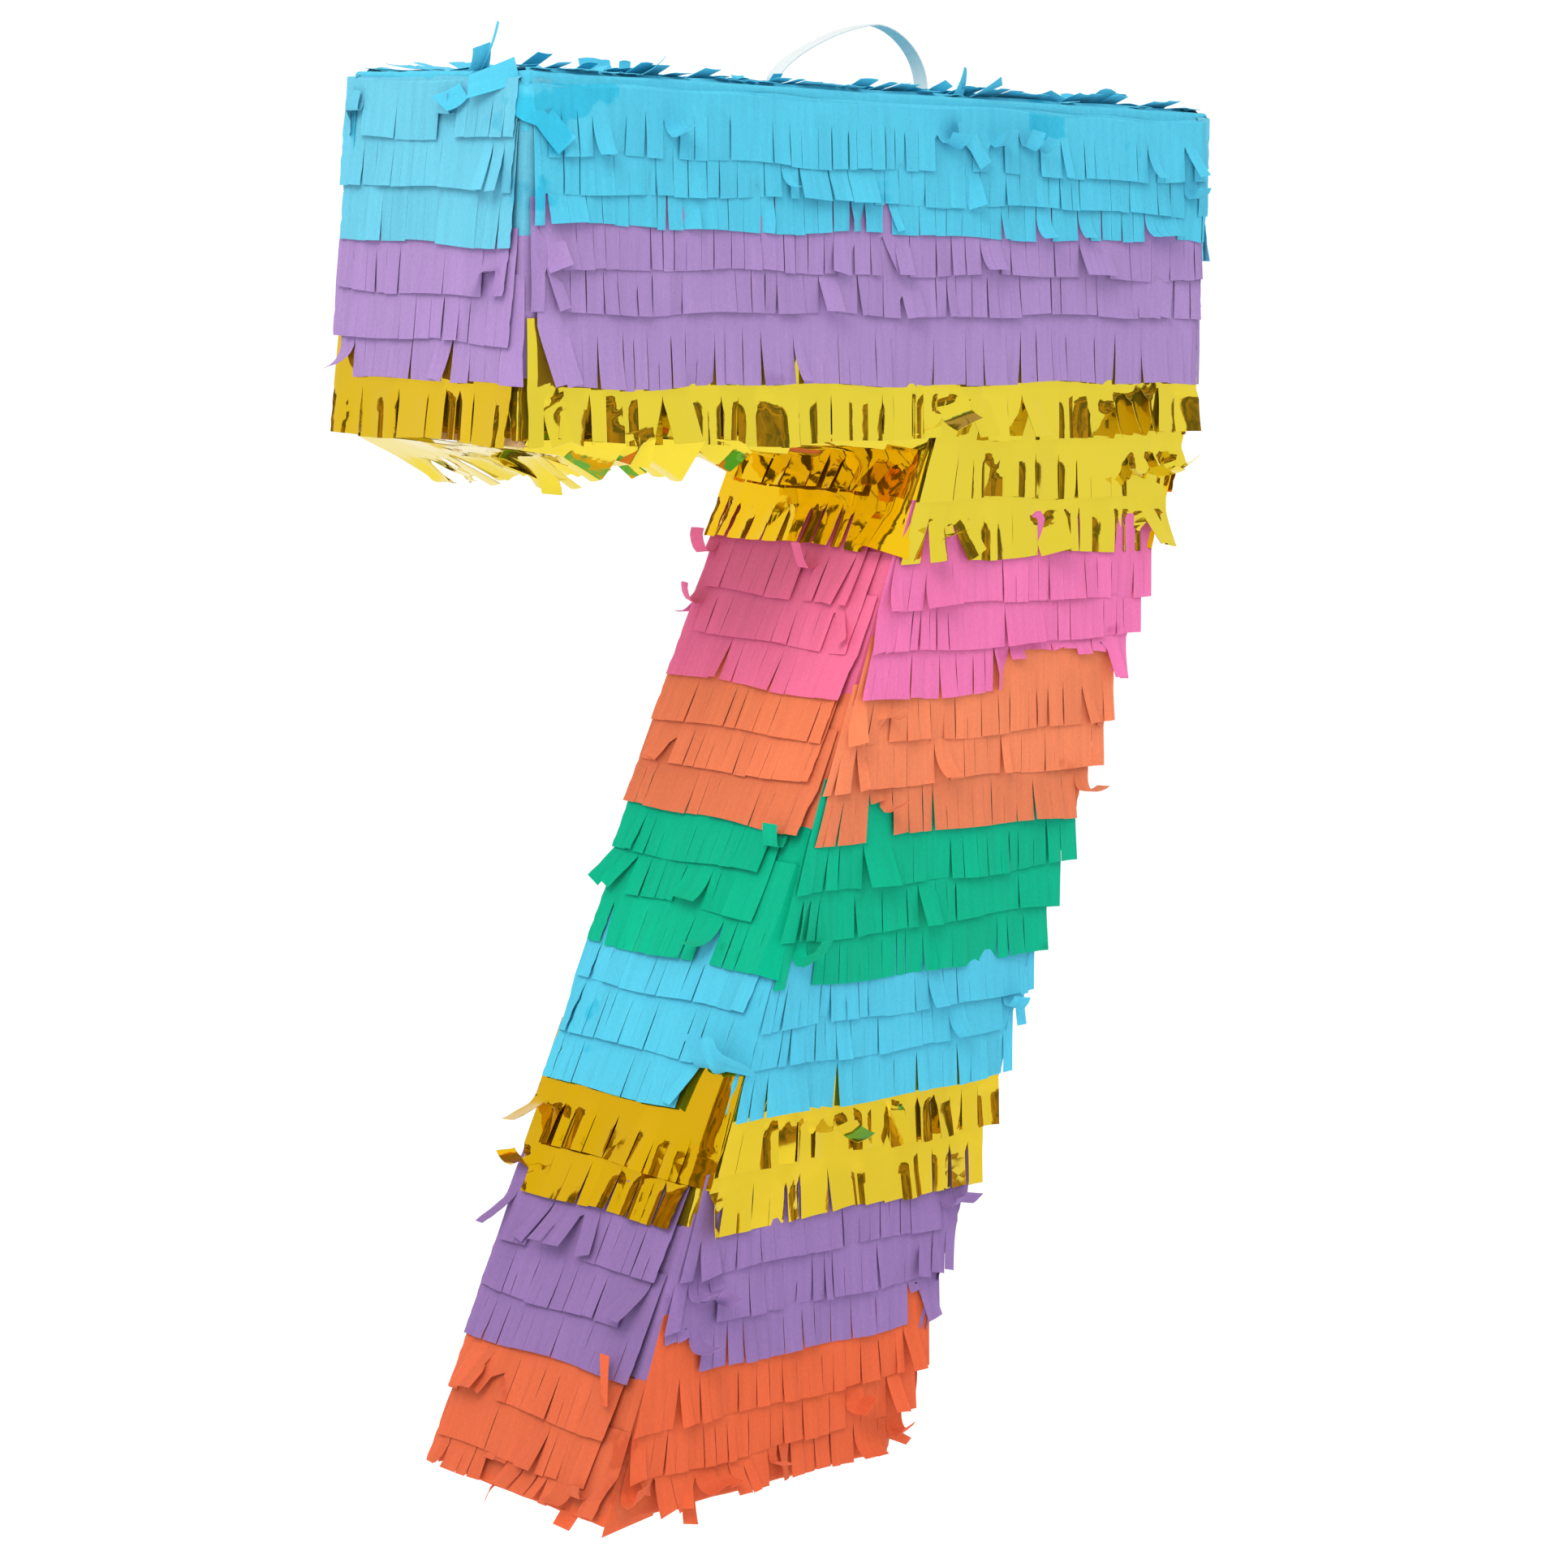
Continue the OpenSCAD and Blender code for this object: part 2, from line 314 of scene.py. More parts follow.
@dataclass(frozen=True)
class GoldFoil(Finish):
    """Metallised polyester film: a bright yellow mirror with soft dents and sharp crinkles."""

    dent_mm: float = 14.0
    crinkle_mm: float = 9.0
    crinkle: float = 0.10

    SURFACE = {"Metallic": 0.90, "Roughness": 0.06}

    def pattern(self, tree: bpy.types.NodeTree) -> tuple:
        """Makes the film's colour, deeper where the strip's attribute says so (a deeper tone, and on
        the sides painted bounce light), dents and crinkles.
        """
        place = add_node(tree, "TexCoord").outputs["Object"]
        tint, depth = (add_node(tree, "Attribute", {"attribute_name": name}).outputs["Fac"]
                       for name in ("tint", "damp"))
        dents = add_node(tree, "TexNoise", None, {
            "Vector": place, "Scale": per_metre(self.dent_mm), "Detail": 1.0})
        cells = add_node(tree, "TexVoronoi", {"feature": "DISTANCE_TO_EDGE"}, {
            "Vector": place, "Scale": per_metre(self.crinkle_mm), "Randomness": 1.0})
        crinkles = add_node(tree, "MapRange", None, {
            "Value": cells.outputs["Distance"], "From Min": 0.0, "From Max": 0.25})
        deepened_film = add_node(tree, "Mix", {"data_type": "RGBA"}, {
            "Factor": depth, "A": linear(self.colour), "B": linear(self.deep)})
        film = add_node(tree, "VectorMath", {"operation": "SCALE"}, {
            0: deepened_film.outputs["Result"], "Scale": tint})
        return film.outputs["Vector"], [
            (dents.outputs["Fac"], 0.5, 0.6), (crinkles.outputs["Result"], self.crinkle, 0.25)]


@dataclass(frozen=True)
class KraftBoard(Finish):
    """Single-wall corrugated board: brown liner with darker fibres and faint flute stripes."""

    flute_mm: float = 6.5
    fibre_mm: float = 1.4

    SURFACE = {"Roughness": 0.9, "Specular IOR Level": 0.2}

    def pattern(self, tree: bpy.types.NodeTree) -> tuple:
        """Makes fibres, and upright flutes that show on the faces along X and along Y."""
        place = add_node(tree, "TexCoord").outputs["Object"]
        fibres = add_node(tree, "TexNoise", None, {
            "Vector": place, "Scale": per_metre(self.fibre_mm), "Detail": 6.0,
            "Roughness": 0.7}).outputs["Fac"]
        diagonal = add_node(tree, "Mapping", None, {
            "Vector": place, "Rotation": (0.0, 0.0, math.radians(45)), "Scale": (1.4, 0.0, 0.0)})
        flutes = add_node(tree, "TexWave", {"bands_direction": "X"}, {
            "Vector": diagonal.outputs["Vector"], "Scale": bands_per_metre(self.flute_mm),
            "Distortion": 0.0})
        liner = add_node(tree, "Mix", {"data_type": "RGBA"}, {
            "Factor": fibres, "A": linear(self.deep), "B": linear(self.colour)})
        return liner.outputs["Result"], [(fibres, 0.3, 0.15), (flutes.outputs["Fac"], 0.35, 0.2)]


@dataclass(frozen=True)
class SatinRibbon(Finish):
    """Polypropylene curling ribbon: cool white with a satin gloss and fine ribs along its length."""

    rib_mm: float = 0.5

    SURFACE = {
        "Roughness": 0.45, "Specular IOR Level": 0.2, "Subsurface Weight": 0.35,
        "Subsurface Radius": (1.0, 1.0, 1.0), "Subsurface Scale": 0.6 * MM}

    def pattern(self, tree: bpy.types.NodeTree) -> tuple:
        """Makes ribs across the UV map's U, and long, faint streaks of painted sheen that dim the
        colour a little.
        """
        band = add_node(tree, "UVMap", {"uv_map": "UVMap"}).outputs["UV"]
        ribs = add_node(tree, "TexWave", {"bands_direction": "X", "wave_profile": "SIN"}, {
            "Vector": band, "Scale": bands_per_metre(self.rib_mm), "Distortion": 0.0})
        streaks = add_node(tree, "Mapping", None, {"Vector": band, "Scale": (1.0, 0.03, 1.0)})
        sheen = add_node(tree, "TexNoise", {"noise_dimensions": "2D"}, {
            "Vector": streaks.outputs["Vector"], "Scale": per_metre(0.8), "Detail": 2.0})
        shade = add_node(tree, "MapRange", None, {
            "Value": sheen.outputs["Fac"], "From Min": 0.3, "From Max": 0.7,
            "To Min": 0.95, "To Max": 1.0})
        tinted = add_node(tree, "VectorMath", {"operation": "SCALE"}, {
            0: linear(self.colour)[:3], "Scale": shade.outputs["Result"]})
        return tinted.outputs["Vector"], [(ribs.outputs["Fac"], 0.3, 0.05)]


@dataclass(frozen=True)
class StudioPaper(Finish):
    """Studio paper or cloth: flat, with a faint tooth, and mottled where it has a deep colour."""

    mottle_mm: float = 260.0

    SURFACE = {"Roughness": 0.95, "Specular IOR Level": 0.0}

    def pattern(self, tree: bpy.types.NodeTree) -> tuple:
        """Makes the tooth and the mottle."""
        place = add_node(tree, "TexCoord").outputs["Object"]
        tooth = add_node(tree, "TexNoise", None, {"Vector": place, "Scale": per_metre(3.0)})
        colour = linear(self.colour)
        if self.deep:
            mottle = add_node(tree, "TexNoise", None, {
                "Vector": place, "Scale": per_metre(self.mottle_mm), "Detail": 2.0, "Distortion": 0.6})
            share = add_node(tree, "MapRange", None, {
                "Value": mottle.outputs["Fac"], "From Min": 0.40, "From Max": 0.60})
            colour = add_node(tree, "Mix", {"data_type": "RGBA"}, {
                "Factor": share.outputs["Result"], "A": linear(self.deep),
                "B": colour}).outputs["Result"]
        return colour, [(tooth.outputs["Fac"], 0.05, 0.1)]


BLUE = TissuePaper("tissue_blue", "#4AB2D1", "#2FA7C9")
PURPLE = TissuePaper("tissue_purple", "#977CB2", "#8A6EA6")
DEEP_PURPLE = TissuePaper("tissue_deep_purple", "#876BA3", "#7C6098")
PINK = TissuePaper("tissue_pink", "#D66CA3", "#C75D94")
CORAL = TissuePaper("tissue_coral", "#DA7A55", "#CB6A47")
GREEN = TissuePaper("tissue_green", "#00A27E", "#00936F")
RED = TissuePaper("tissue_red", "#D05D39", "#C14F2E")
# The foil's deeper colour stands in for warm light bounced between foil faces where a strip mixes it in
GOLD = GoldFoil("gold_foil", "#DEC937", "#D9AB00")
BOARD = KraftBoard("kraft_board", "#BE9467", "#9C7347")
TAPE = KraftBoard("paper_tape", "#CBA97A", "#B08C5C", flute_mm=40.0)
RIBBON = SatinRibbon("satin_ribbon", "#C8D0D2")
BACKGROUND = StudioPaper("background_paper", "#FDFDFD")
FLAG_CLOTH = StudioPaper("dark_flag_cloth", "#A87A2A", "#2E1D08")

# Four bands look a little different in colour on the left and right than on the front; these copies
# paint that in as shade and warm bounce light
SIDE_PAINTED_LIGHT_FINISHES = {
    "upper_blue": TissuePaper("tissue_blue_side", "#5DB0CB", "#4BA6C4"),
    "pink": TissuePaper("tissue_pink_side", "#DD6892", "#CF5A84"),
    "coral": TissuePaper("tissue_coral_side", "#D97450", "#CA6542"),
    "red": TissuePaper("tissue_red_side", "#C65E3D", "#B85032"),
}


@cache
def material_of(finish: Finish) -> bpy.types.Material:
    """Returns a finish's material, made at its first use."""
    return finish.material()


def dress(piece: bpy.types.Object, finish: Finish) -> None:
    """Gives a piece its one material."""
    piece.data.materials.clear()
    piece.data.materials.append(material_of(finish))


# ------------------------------------------------------- the body's own shape


@dataclass(frozen=True)
class Face:
    """One flat face of the body, with its own run, drop and outward directions.

    Paper that runs past either end folds round the edge onto the next face.
    """

    origin: Vector
    run: Vector
    drop: Vector
    out: Vector
    length: float
    folds: bool = True
    lip: bool = False
    edge_radius: float = 0.6 * MM
    open_start: bool = False

    def place(self, u: np.ndarray, v: np.ndarray, h: np.ndarray) -> np.ndarray:
        """Finds where points of the unrolled paper lie.

        Args:
            u: Distance along the face.
            v: Distance down the face.
            h: Height over the board.

        Returns:
            Rows of x, y and z.
        """
        run, drop, out = (np.array(d) for d in (self.run, self.drop, self.out))
        flat, height, level = (np.array(a, float) for a in (u, h, v))
        if self.lip:
            beyond = self.edge_radius - level
            turn = np.clip(beyond / (self.edge_radius * 1.6), 0, 1) * math.pi / 2
            rest = np.maximum(beyond - self.edge_radius * 1.6, 0)
            radius = self.edge_radius + height
            level = np.where(beyond > 0, self.edge_radius - radius * np.sin(turn), level)
            height = np.where(beyond > 0, radius * np.cos(turn) - self.edge_radius - rest, height)
        if self.folds:
            middle = self.length / 2
            side = np.where(flat < middle, -1.0, 1.0)
            beyond = np.abs(flat - middle) - (middle - self.edge_radius)
            if self.open_start:
                beyond = np.where(flat < middle, -1.0, beyond)
            radius = self.edge_radius + height
            arc = self.edge_radius * 1.6
            turn = np.clip(beyond / arc, 0, 1) * math.pi / 2
            rest = np.maximum(beyond - arc, 0)
            past = beyond > 0
            bent = (middle - self.edge_radius) + radius * np.sin(turn)
            flat = np.where(past, middle + side * bent, flat)
            height = np.where(past, radius * np.cos(turn) - self.edge_radius - rest, height)
        return (np.array(self.origin) + flat[:, None] * run + level[:, None] * drop
                + height[:, None] * out)


@dataclass
class Numeral:
    """The board body's sizes, read from the frame, and its faces."""

    inner_corner: float = 161 * MM
    front: float = field(init=False)
    back: float = field(init=False)
    left: float = field(init=False)
    right: float = field(init=False)
    top: float = field(init=False)
    bottom: float = field(init=False)
    bar_height: float = field(init=False)
    right_drop: float = field(init=False)
    foot_left: float = field(init=False)
    foot_right: float = field(init=False)

    def __post_init__(self) -> None:
        """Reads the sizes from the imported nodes."""
        low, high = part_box("front_panel")
        self.left, self.right = low.x, high.x
        self.front, self.bottom, self.top = low.y, low.z, high.z
        self.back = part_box("back_panel")[1].y
        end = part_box("bar_left_wall")
        self.bar_height = end[1].z - end[0].z
        right_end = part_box("bar_right_wall")
        self.right_drop = right_end[1].z - right_end[0].z
        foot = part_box("foot_wall")
        self.foot_left, self.foot_right = foot[0].x - self.left, foot[1].x - self.left

    @property
    def depth(self) -> float:
        """Depth from front to back."""
        return self.back - self.front

    @property
    def width(self) -> float:
        """Width along the bar."""
        return self.right - self.left

    @property
    def height(self) -> float:
        """Height from foot to top."""
        return self.top - self.bottom

    def stem_left(self, level: float) -> float:
        """Distance from the free end to the stem's left edge at a level under the top."""
        share = (level - self.bar_height) / (self.height - self.bar_height)
        return self.inner_corner + share * (self.foot_left - self.inner_corner)

    def stem_right(self, level: float) -> float:
        """Distance from the free end to the stem's right edge at a level under the top."""
        share = (level - self.right_drop) / (self.height - self.right_drop)
        return self.width + share * (self.foot_right - self.width)

    def panel_face(self, back: bool = False, folds: bool = True, lip: bool = False) -> Face:
        """The front or the back, both measured from the bar's free end."""
        depth, out = (self.back, 1) if back else (self.front, -1)
        return Face(Vector((self.left, depth, self.top)), Vector((1, 0, 0)), Vector((0, 0, -1)),
                    Vector((0, out, 0)), self.width, folds, lip)

    def end_face(self, right: bool = False, lip: bool = False) -> Face:
        """One end of the bar, from back to front."""
        place, out = (self.right, 1) if right else (self.left, -1)
        return Face(Vector((place, self.back, self.top)), Vector((0, -1, 0)), Vector((0, 0, -1)),
                    Vector((out, 0, 0)), self.depth, True, lip)

    def stem_face(self, right: bool = False) -> Face:
        """One side of the stem, from back to front."""
        level = self.right_drop if right else self.bar_height
        start = Vector((self.left + (self.width if right else self.inner_corner), self.back,
                        self.top - level))
        end = Vector((self.left + (self.foot_right if right else self.foot_left), self.back,
                      self.bottom))
        drop = (end - start).normalized()
        side = 1 if right else -1
        return Face(start, Vector((0, -1, 0)), drop, Vector((-side * drop.z, 0, side * drop.x)),
                    self.depth)

    def top_half(self, back: bool = False) -> Face:
        """The front or back half of the top, from its middle line outwards."""
        return Face(Vector((self.left, 0, self.top)), Vector((1, 0, 0)),
                    Vector((0, 1 if back else -1, 0)), Vector((0, 0, 1)), self.width, False)

    def underside(self) -> Face:
        """The underside of the bar, from its free end to the stem."""
        return Face(Vector((self.left, self.front, self.top - self.bar_height)), Vector((0, 1, 0)),
                    Vector((1, 0, 0)), Vector((0, 0, -1)), self.depth)


# --------------------------------------------------------------- cut fringe


class Flaw(Enum):
    """What handling has done to a tab of the fringe."""

    LIFTED = "lifted"
    CURLED = "curled"
    FOLDED = "folded"
    TWISTED = "twisted"
    SWUNG = "swung"
    TORN = "torn"
    STUCK = "stuck"


LIFTED, CURLED, FOLDED, TWISTED, SWUNG, TORN, STUCK = Flaw


@dataclass(frozen=True)
class Damage:
    """Tabs that hang unlike their neighbours, placed in millimetres along their strip."""

    at: float
    span: float
    flaw: Flaw
    amount: float = 1.0


@dataclass
class Hang:
    """How one tab hangs: angles in radians, and its length as a share of the slit."""

    swing: float
    lift: float
    curl: float
    twist: float
    reach: float
    bend_by: float = 0.3
    sharp: float = 0.0

    def spoil(self, damage: Damage, rng: np.random.RandomState) -> None:
        """Changes the tab as a flaw does.

        Args:
            damage: What happened to it.
            rng: The strip's random source.
        """
        amount, jitter = damage.amount, rng.uniform(0.75, 1.25)
        sway = rng.normal(0, 0.12)
        if damage.flaw is LIFTED:
            self.swing, self.lift, self.curl = sway, math.radians(36) * amount * jitter, 0.1
        elif damage.flaw is CURLED:
            self.swing, self.lift = sway, math.radians(14) * jitter
            self.curl = math.radians(165) * amount * jitter
            self.twist, self.bend_by, self.sharp = rng.normal(0, 0.35), 0.5, rng.choice([0.5, 1.0])
        elif damage.flaw is FOLDED:
            self.swing, self.lift = sway * 2, math.radians(163) * min(amount, 1.05)
            self.curl, self.bend_by = math.radians(12) * jitter, 0.28
        elif damage.flaw is TWISTED:
            self.swing, self.lift, self.curl = sway, math.radians(14) * jitter, 0.2
            self.twist, self.bend_by = math.radians(75) * amount * rng.choice([-1, 1]), 0.5
        elif damage.flaw is SWUNG:
            self.swing, self.lift, self.curl = math.radians(30) * amount, math.radians(9), 0.1
        elif damage.flaw is TORN:
            self.swing, self.lift, self.curl = sway, math.radians(8), 0.4
            self.reach = min(0.95, 0.25 * jitter / amount)
        else:
            self.swing = self.lift = self.curl = self.twist = 0.0


@dataclass
class Strip:
    """One strip of paper, glued along its head and cut to tabs below.

    It runs from start to end along its face, and its tips lie tip below the face's top. Foil is stiff
    and turns some of its tabs edgeways, and turned is their share; for tissue it is None. The strip
    above covers the first part of the slits. Of the slits, joined is the share that hardly opened.
    """

    name: str
    face: Face
    start: float
    end: float
    tip: float
    head: float
    slit: float = 17 * MM
    tab_width: float = 5.7 * MM
    head_height: float = 1.2 * MM
    tip_height: float = 3.2 * MM
    far_height: float | None = None
    wrap_height: float = 1.5 * MM
    looseness: float = 1.0
    cupping: float = 0.22 * MM
    joined: float = 0.30
    left_edge: tuple[float, float] | None = None
    crumple: float = 0.0
    damages: list[Damage] = field(default_factory=list)
    stains: tuple[tuple[float, float, float], ...] = ()
    turned: float | None = None
    covered: float = 0.0
    # The next value mixes in the finish's deeper colour: a deeper tone, and on the foil's sides painted
    # bounce light
    deep_tone_and_bounce: float = 0.0
    # The next value scales the colour; on some side strips it is painted shade or light
    shade: float = 1.0

    TAB_COLUMNS = 3
    HEAD_ROWS = 3
    SLIT_ROWS = 8
    EDGE_REACH = 34 * MM  # how far from the stem's slanted edge a strip still follows it
    MOST_HEIGHT = 15 * MM  # no tab stands further off the board
    LEAST_HEIGHT = 0.9 * MM
    SWELL_TABS = 5  # a strip swells and dips over about this many tabs
    PAST_FOLD = 0.3  # how much of its freedom a tab keeps past a fold
    TISSUE_GAP, FOIL_GAP = 0.24, 0.34  # spread of the slits' gaps in millimetres

    def cuts(self, rng: np.random.RandomState) -> np.ndarray:
        """Chooses where the cuts come.

        Args:
            rng: The strip's random source.

        Returns:
            The cuts' places along the face, with both ends.
        """
        total = self.end - self.start
        count = max(2, round(total / self.tab_width))
        widths = np.clip(rng.normal(1, 0.22, count), 0.6, 1.7)
        places = np.concatenate([[0], np.cumsum(widths)])
        return self.start + places / places[-1] * total

    def sheet(self, count: int) -> bpy.types.Object:
        """Makes the flat grid of the strip, one group of columns to a tab."""
        deselect_all()
        bpy.ops.mesh.primitive_grid_add(
            x_subdivisions=count * self.TAB_COLUMNS, y_subdivisions=self.HEAD_ROWS + self.SLIT_ROWS,
            size=1.0, calc_uvs=True)
        strip = bpy.context.object
        strip.name = self.name
        return strip

    def open_slits(self, strip: bpy.types.Object, columns: np.ndarray, rows: np.ndarray,
                   first_rows: np.ndarray) -> None:
        """Cuts the sheet along each slit by splitting its edges.

        Args:
            strip: The flat grid.
            columns: Each point's column.
            rows: Each point's row from the top.
            first_rows: For each slit, the row that it starts at.
        """
        mesh = strip.data
        ends = np.empty(len(mesh.edges) * 2, int)
        mesh.edges.foreach_get("vertices", ends)
        a, b = ends.reshape(-1, 2).T
        slit = columns[a] // self.TAB_COLUMNS
        inner = (columns[a] % self.TAB_COLUMNS == 0) & (slit > 0) & (slit <= len(first_rows))
        opens = first_rows[np.clip(slit - 1, 0, len(first_rows) - 1)]
        cut = inner & (columns[a] == columns[b]) & (np.minimum(rows[a], rows[b]) >= opens)
        select(mesh, edges=cut)
        bpy.ops.object.mode_set(mode="EDIT")
        bpy.ops.mesh.edge_split(type="EDGE")
        bpy.ops.object.mode_set(mode="OBJECT")

    def grid_places(self, mesh: bpy.types.Mesh,
                    count: int) -> tuple[np.ndarray, np.ndarray, np.ndarray]:
        """Finds each point's column, row and tab.

        Args:
            mesh: The flat grid's mesh.
            count: The number of tabs.

        Returns:
            Columns, rows from the top, and tabs.
        """
        flat = coordinates(mesh)
        columns = np.rint((flat[:, 0] + 0.5) * count * self.TAB_COLUMNS).astype(int)
        rows = np.rint((0.5 - flat[:, 1]) * (self.HEAD_ROWS + self.SLIT_ROWS)).astype(int)
        corners = np.empty(len(mesh.loops), int)
        mesh.loops.foreach_get("vertex_index", corners)
        centres = columns[corners].reshape(-1, 4).mean(axis=1)
        tab = np.empty(len(mesh.vertices), int)
        tab[corners] = np.repeat((centres // self.TAB_COLUMNS).astype(int), 4)
        return columns, rows, tab

    def draw(self, rng: np.random.RandomState, swell: float) -> Hang:
        """Draws how one tab hangs: calm as a rule, and now and then swung, lifted, curled or twisted.

        Args:
            rng: The strip's random source.
            swell: How far the strip stands off here, from zero to one.

        Returns:
            The tab's hang.
        """
        loose, radians = self.looseness, math.radians
        hang = Hang(
            swing=rng.normal(0, radians(0.45) * loose),
            lift=abs(rng.normal(0, radians(1.6) * loose)) + swell * radians(2.2) * loose,
            curl=rng.normal(0, radians(4) * loose),
            twist=rng.normal(0, radians(2.4) * loose),
            reach=1 + rng.normal(0, 0.010))
        odd, much = rng.uniform(0, 1), rng.uniform(0, 1)
        if odd < 0.045 * loose:
            hang.swing += (much - 0.5) * radians(18)
        elif odd < 0.085 * loose:
            hang.lift += radians(6 + 18 * much)
        elif odd < 0.115 * loose:
            hang.curl += radians(30 + 70 * much)
        elif odd < 0.140 * loose:
            hang.twist += (much - 0.5) * radians(70)
        chance = rng.uniform(0, 1)
        if self.turned is not None:
            hang.bend_by = 0.12
            if chance < self.turned:
                hang.twist += radians(7 + 15 * much) * (1 if chance < 0.6 * self.turned else -1)
        return hang

    def hangs(self, rng: np.random.RandomState, centres: np.ndarray, groups: np.ndarray) -> list[Hang]:
        """Draws how each tab hangs; tabs whose slits never opened move together.

        Args:
            rng: The strip's random source.
            centres: Each tab's middle along the face.
            groups: Each tab's group.

        Returns:
            One hang for each tab.
        """
        count = len(centres)
        knots = count // self.SWELL_TABS + 2
        swell = np.interp(np.arange(count), np.arange(knots) * self.SWELL_TABS,
                          rng.uniform(0, 1, knots))
        drawn = [self.draw(rng, swell[k]) for k in range(count)]
        result = []
        for k, (centre, group) in enumerate(zip(centres, groups)):
            hang = replace(drawn[group])
            hang.twist *= 1 if group == k else 0.3
            if self.face.folds and not 0 < centre < self.face.length:
                hang.swing, hang.lift, hang.curl = (
                    self.PAST_FOLD * angle for angle in (hang.swing, hang.lift, hang.curl))
            for damage in self.damages:
                if abs(centre / MM - damage.at) <= damage.span / 2:
                    hang.spoil(damage, rng)
            result.append(hang)
        return result

    def build(self) -> bpy.types.Object:
        """Makes the strip: a grid is cut, its tabs are bent, and it is laid on the face.

        Returns:
            The strip, an open sheet, with its UV map in metres and a tone for each tab, which also
            carries the strip's shade.
        """
        rng = seed_for(self.name)
        cuts = self.cuts(rng)
        count = len(cuts) - 1
        strip = self.sheet(count)
        columns, rows, _ = self.grid_places(strip.data, count)
        shut = rng.uniform(0, 1, count + 1) < self.joined
        shut_rows, open_rows = (rng.choice(choices, max(count - 1, 1))
                                for choices in ([1, 3, 4], [0, 0, 0, 1]))
        first_rows = self.HEAD_ROWS + np.where(shut[1:-1], shut_rows, open_rows)
        self.open_slits(strip, columns, rows, first_rows)
        columns, rows, tab = self.grid_places(strip.data, count)
        starts = np.where(~shut[:-1] | (np.arange(count) == 0), np.arange(count), 0)
        groups = np.maximum.accumulate(starts)

        slit_top, head_top = self.tip - self.slit, self.tip - self.head
        centre, width = (cuts[:-1] + cuts[1:]) / 2, np.diff(cuts)
        hangs = self.hangs(rng, centre, groups)
        swing, lift, curl, twist, reach, bend_by, sharp = (
            np.array([getattr(hang, key) for hang in hangs])
            for key in ("swing", "lift", "curl", "twist", "reach", "bend_by", "sharp"))
        stiff = self.turned is not None
        wide = self.FOIL_GAP if stiff else self.TISSUE_GAP * self.looseness
        gap = np.where(shut, 0.08, 0.12 + np.abs(rng.normal(0, wide, count + 1))) * MM
        cup = rng.normal(0, self.cupping, count)

        hidden = min(self.covered / self.slit, 0.7)
        steps = np.clip((np.linspace(0, 1, self.SLIT_ROWS + 1) - hidden) / (1 - hidden), 0, 1)
        fold = np.clip((steps - 0.30) / 0.30, 0, 1)
        crease = (fold * fold * (3 - 2 * fold))[None]
        bent = (1 - sharp[:, None]) * steps[None] ** 1.5 + sharp[:, None] * crease
        angles = lift[:, None] * np.clip(steps[None] / bend_by[:, None], 0, 1) + curl[:, None] * bent
        middle = (angles[:, 1:] + angles[:, :-1]) / 2
        step = (self.slit * reach / self.SLIT_ROWS)[:, None]
        start = np.zeros((count, 1))
        down, up = (np.concatenate([start, np.cumsum(part(middle) * step, axis=1)], axis=1)
                    for part in (np.cos, np.sin))

        row = np.clip(rows - self.HEAD_ROWS, 0, self.SLIT_ROWS)
        t = row / self.SLIT_ROWS
        free = steps[row]
        inside = columns / self.TAB_COLUMNS - tab
        spread = np.minimum(t * 3, 1)
        low = -width[tab] / 2 + gap[tab] / 2 * spread
        high = width[tab] / 2 - gap[tab + 1] / 2 * spread
        across = low + inside * (high - low)
        fall, rise, angle = down[tab, row], up[tab, row], angles[tab, row]
        spin = twist[tab] * np.clip(free * (4.0 if stiff else 1.6), 0, 1)
        level, tilt = across * np.cos(spin), across * np.sin(spin)
        u = centre[tab] + fall * np.sin(swing[tab]) + level * np.cos(swing[tab])
        v = slit_top + fall * np.cos(swing[tab]) - level * np.sin(swing[tab]) - tilt * np.sin(angle)
        bowed = np.minimum(free * 4, 1) if stiff else free
        rise = rise + tilt * np.cos(angle) + cup[tab] * (1 - (2 * inside - 1) ** 2) * bowed

        in_head = rows < self.HEAD_ROWS
        straight = np.interp(columns / self.TAB_COLUMNS, np.arange(count + 1), cuts)
        u = np.where(in_head, straight, u)
        v = np.where(in_head, head_top + rows / self.HEAD_ROWS * (slit_top - head_top), v)
        rise = np.where(in_head, 0, rise)
        far = self.tip_height if self.far_height is None else self.far_height
        along = (u - self.start) / (self.end - self.start)
        tip_height = self.tip_height + (far - self.tip_height) * along
        share = np.clip((np.where(in_head, v, slit_top + fall) - head_top) / self.head, 0, 1)
        base = self.head_height + (tip_height - self.head_height) * share
        phase = rng.uniform(0, 6.3, 4)
        ripple = 0.20 * MM * np.sin(u / (6.5 * MM) + phase[0]) * np.sin(v / (8 * MM) + phase[1])
        past = np.abs(u - self.face.length / 2) - self.face.length / 2
        if self.crumple:
            near = np.clip((past + 9 * MM) / (6 * MM), 0, 1)
            waves = u / (1.7 * MM) + phase[2] + 2 * np.sin(v / (2.6 * MM))
            ripple += near * self.crumple * np.abs(np.sin(waves))
        v = (v + 0.55 * MM * np.sin(u / (19 * MM) + phase[2])
             + 0.35 * MM * np.sin(u / (8 * MM) + phase[3]))
        if self.face.folds:
            wrapped = np.clip(past / (2 * MM), 0, 1)
            if self.face.open_start:
                wrapped = np.where(u < 0, 0.0, wrapped)
            base = base + wrapped * (np.minimum(base, self.wrap_height) - base)
            rise = rise * (1 - 0.65 * wrapped)
        height = np.clip(base + rise + ripple, self.LEAST_HEIGHT, self.MOST_HEIGHT)
        if self.left_edge:
            shift = np.maximum(self.left_edge[0] + self.left_edge[1] * v - self.start, 0)
            u = u + shift * np.clip(1 - (u - self.start) / self.EDGE_REACH, 0, 1)

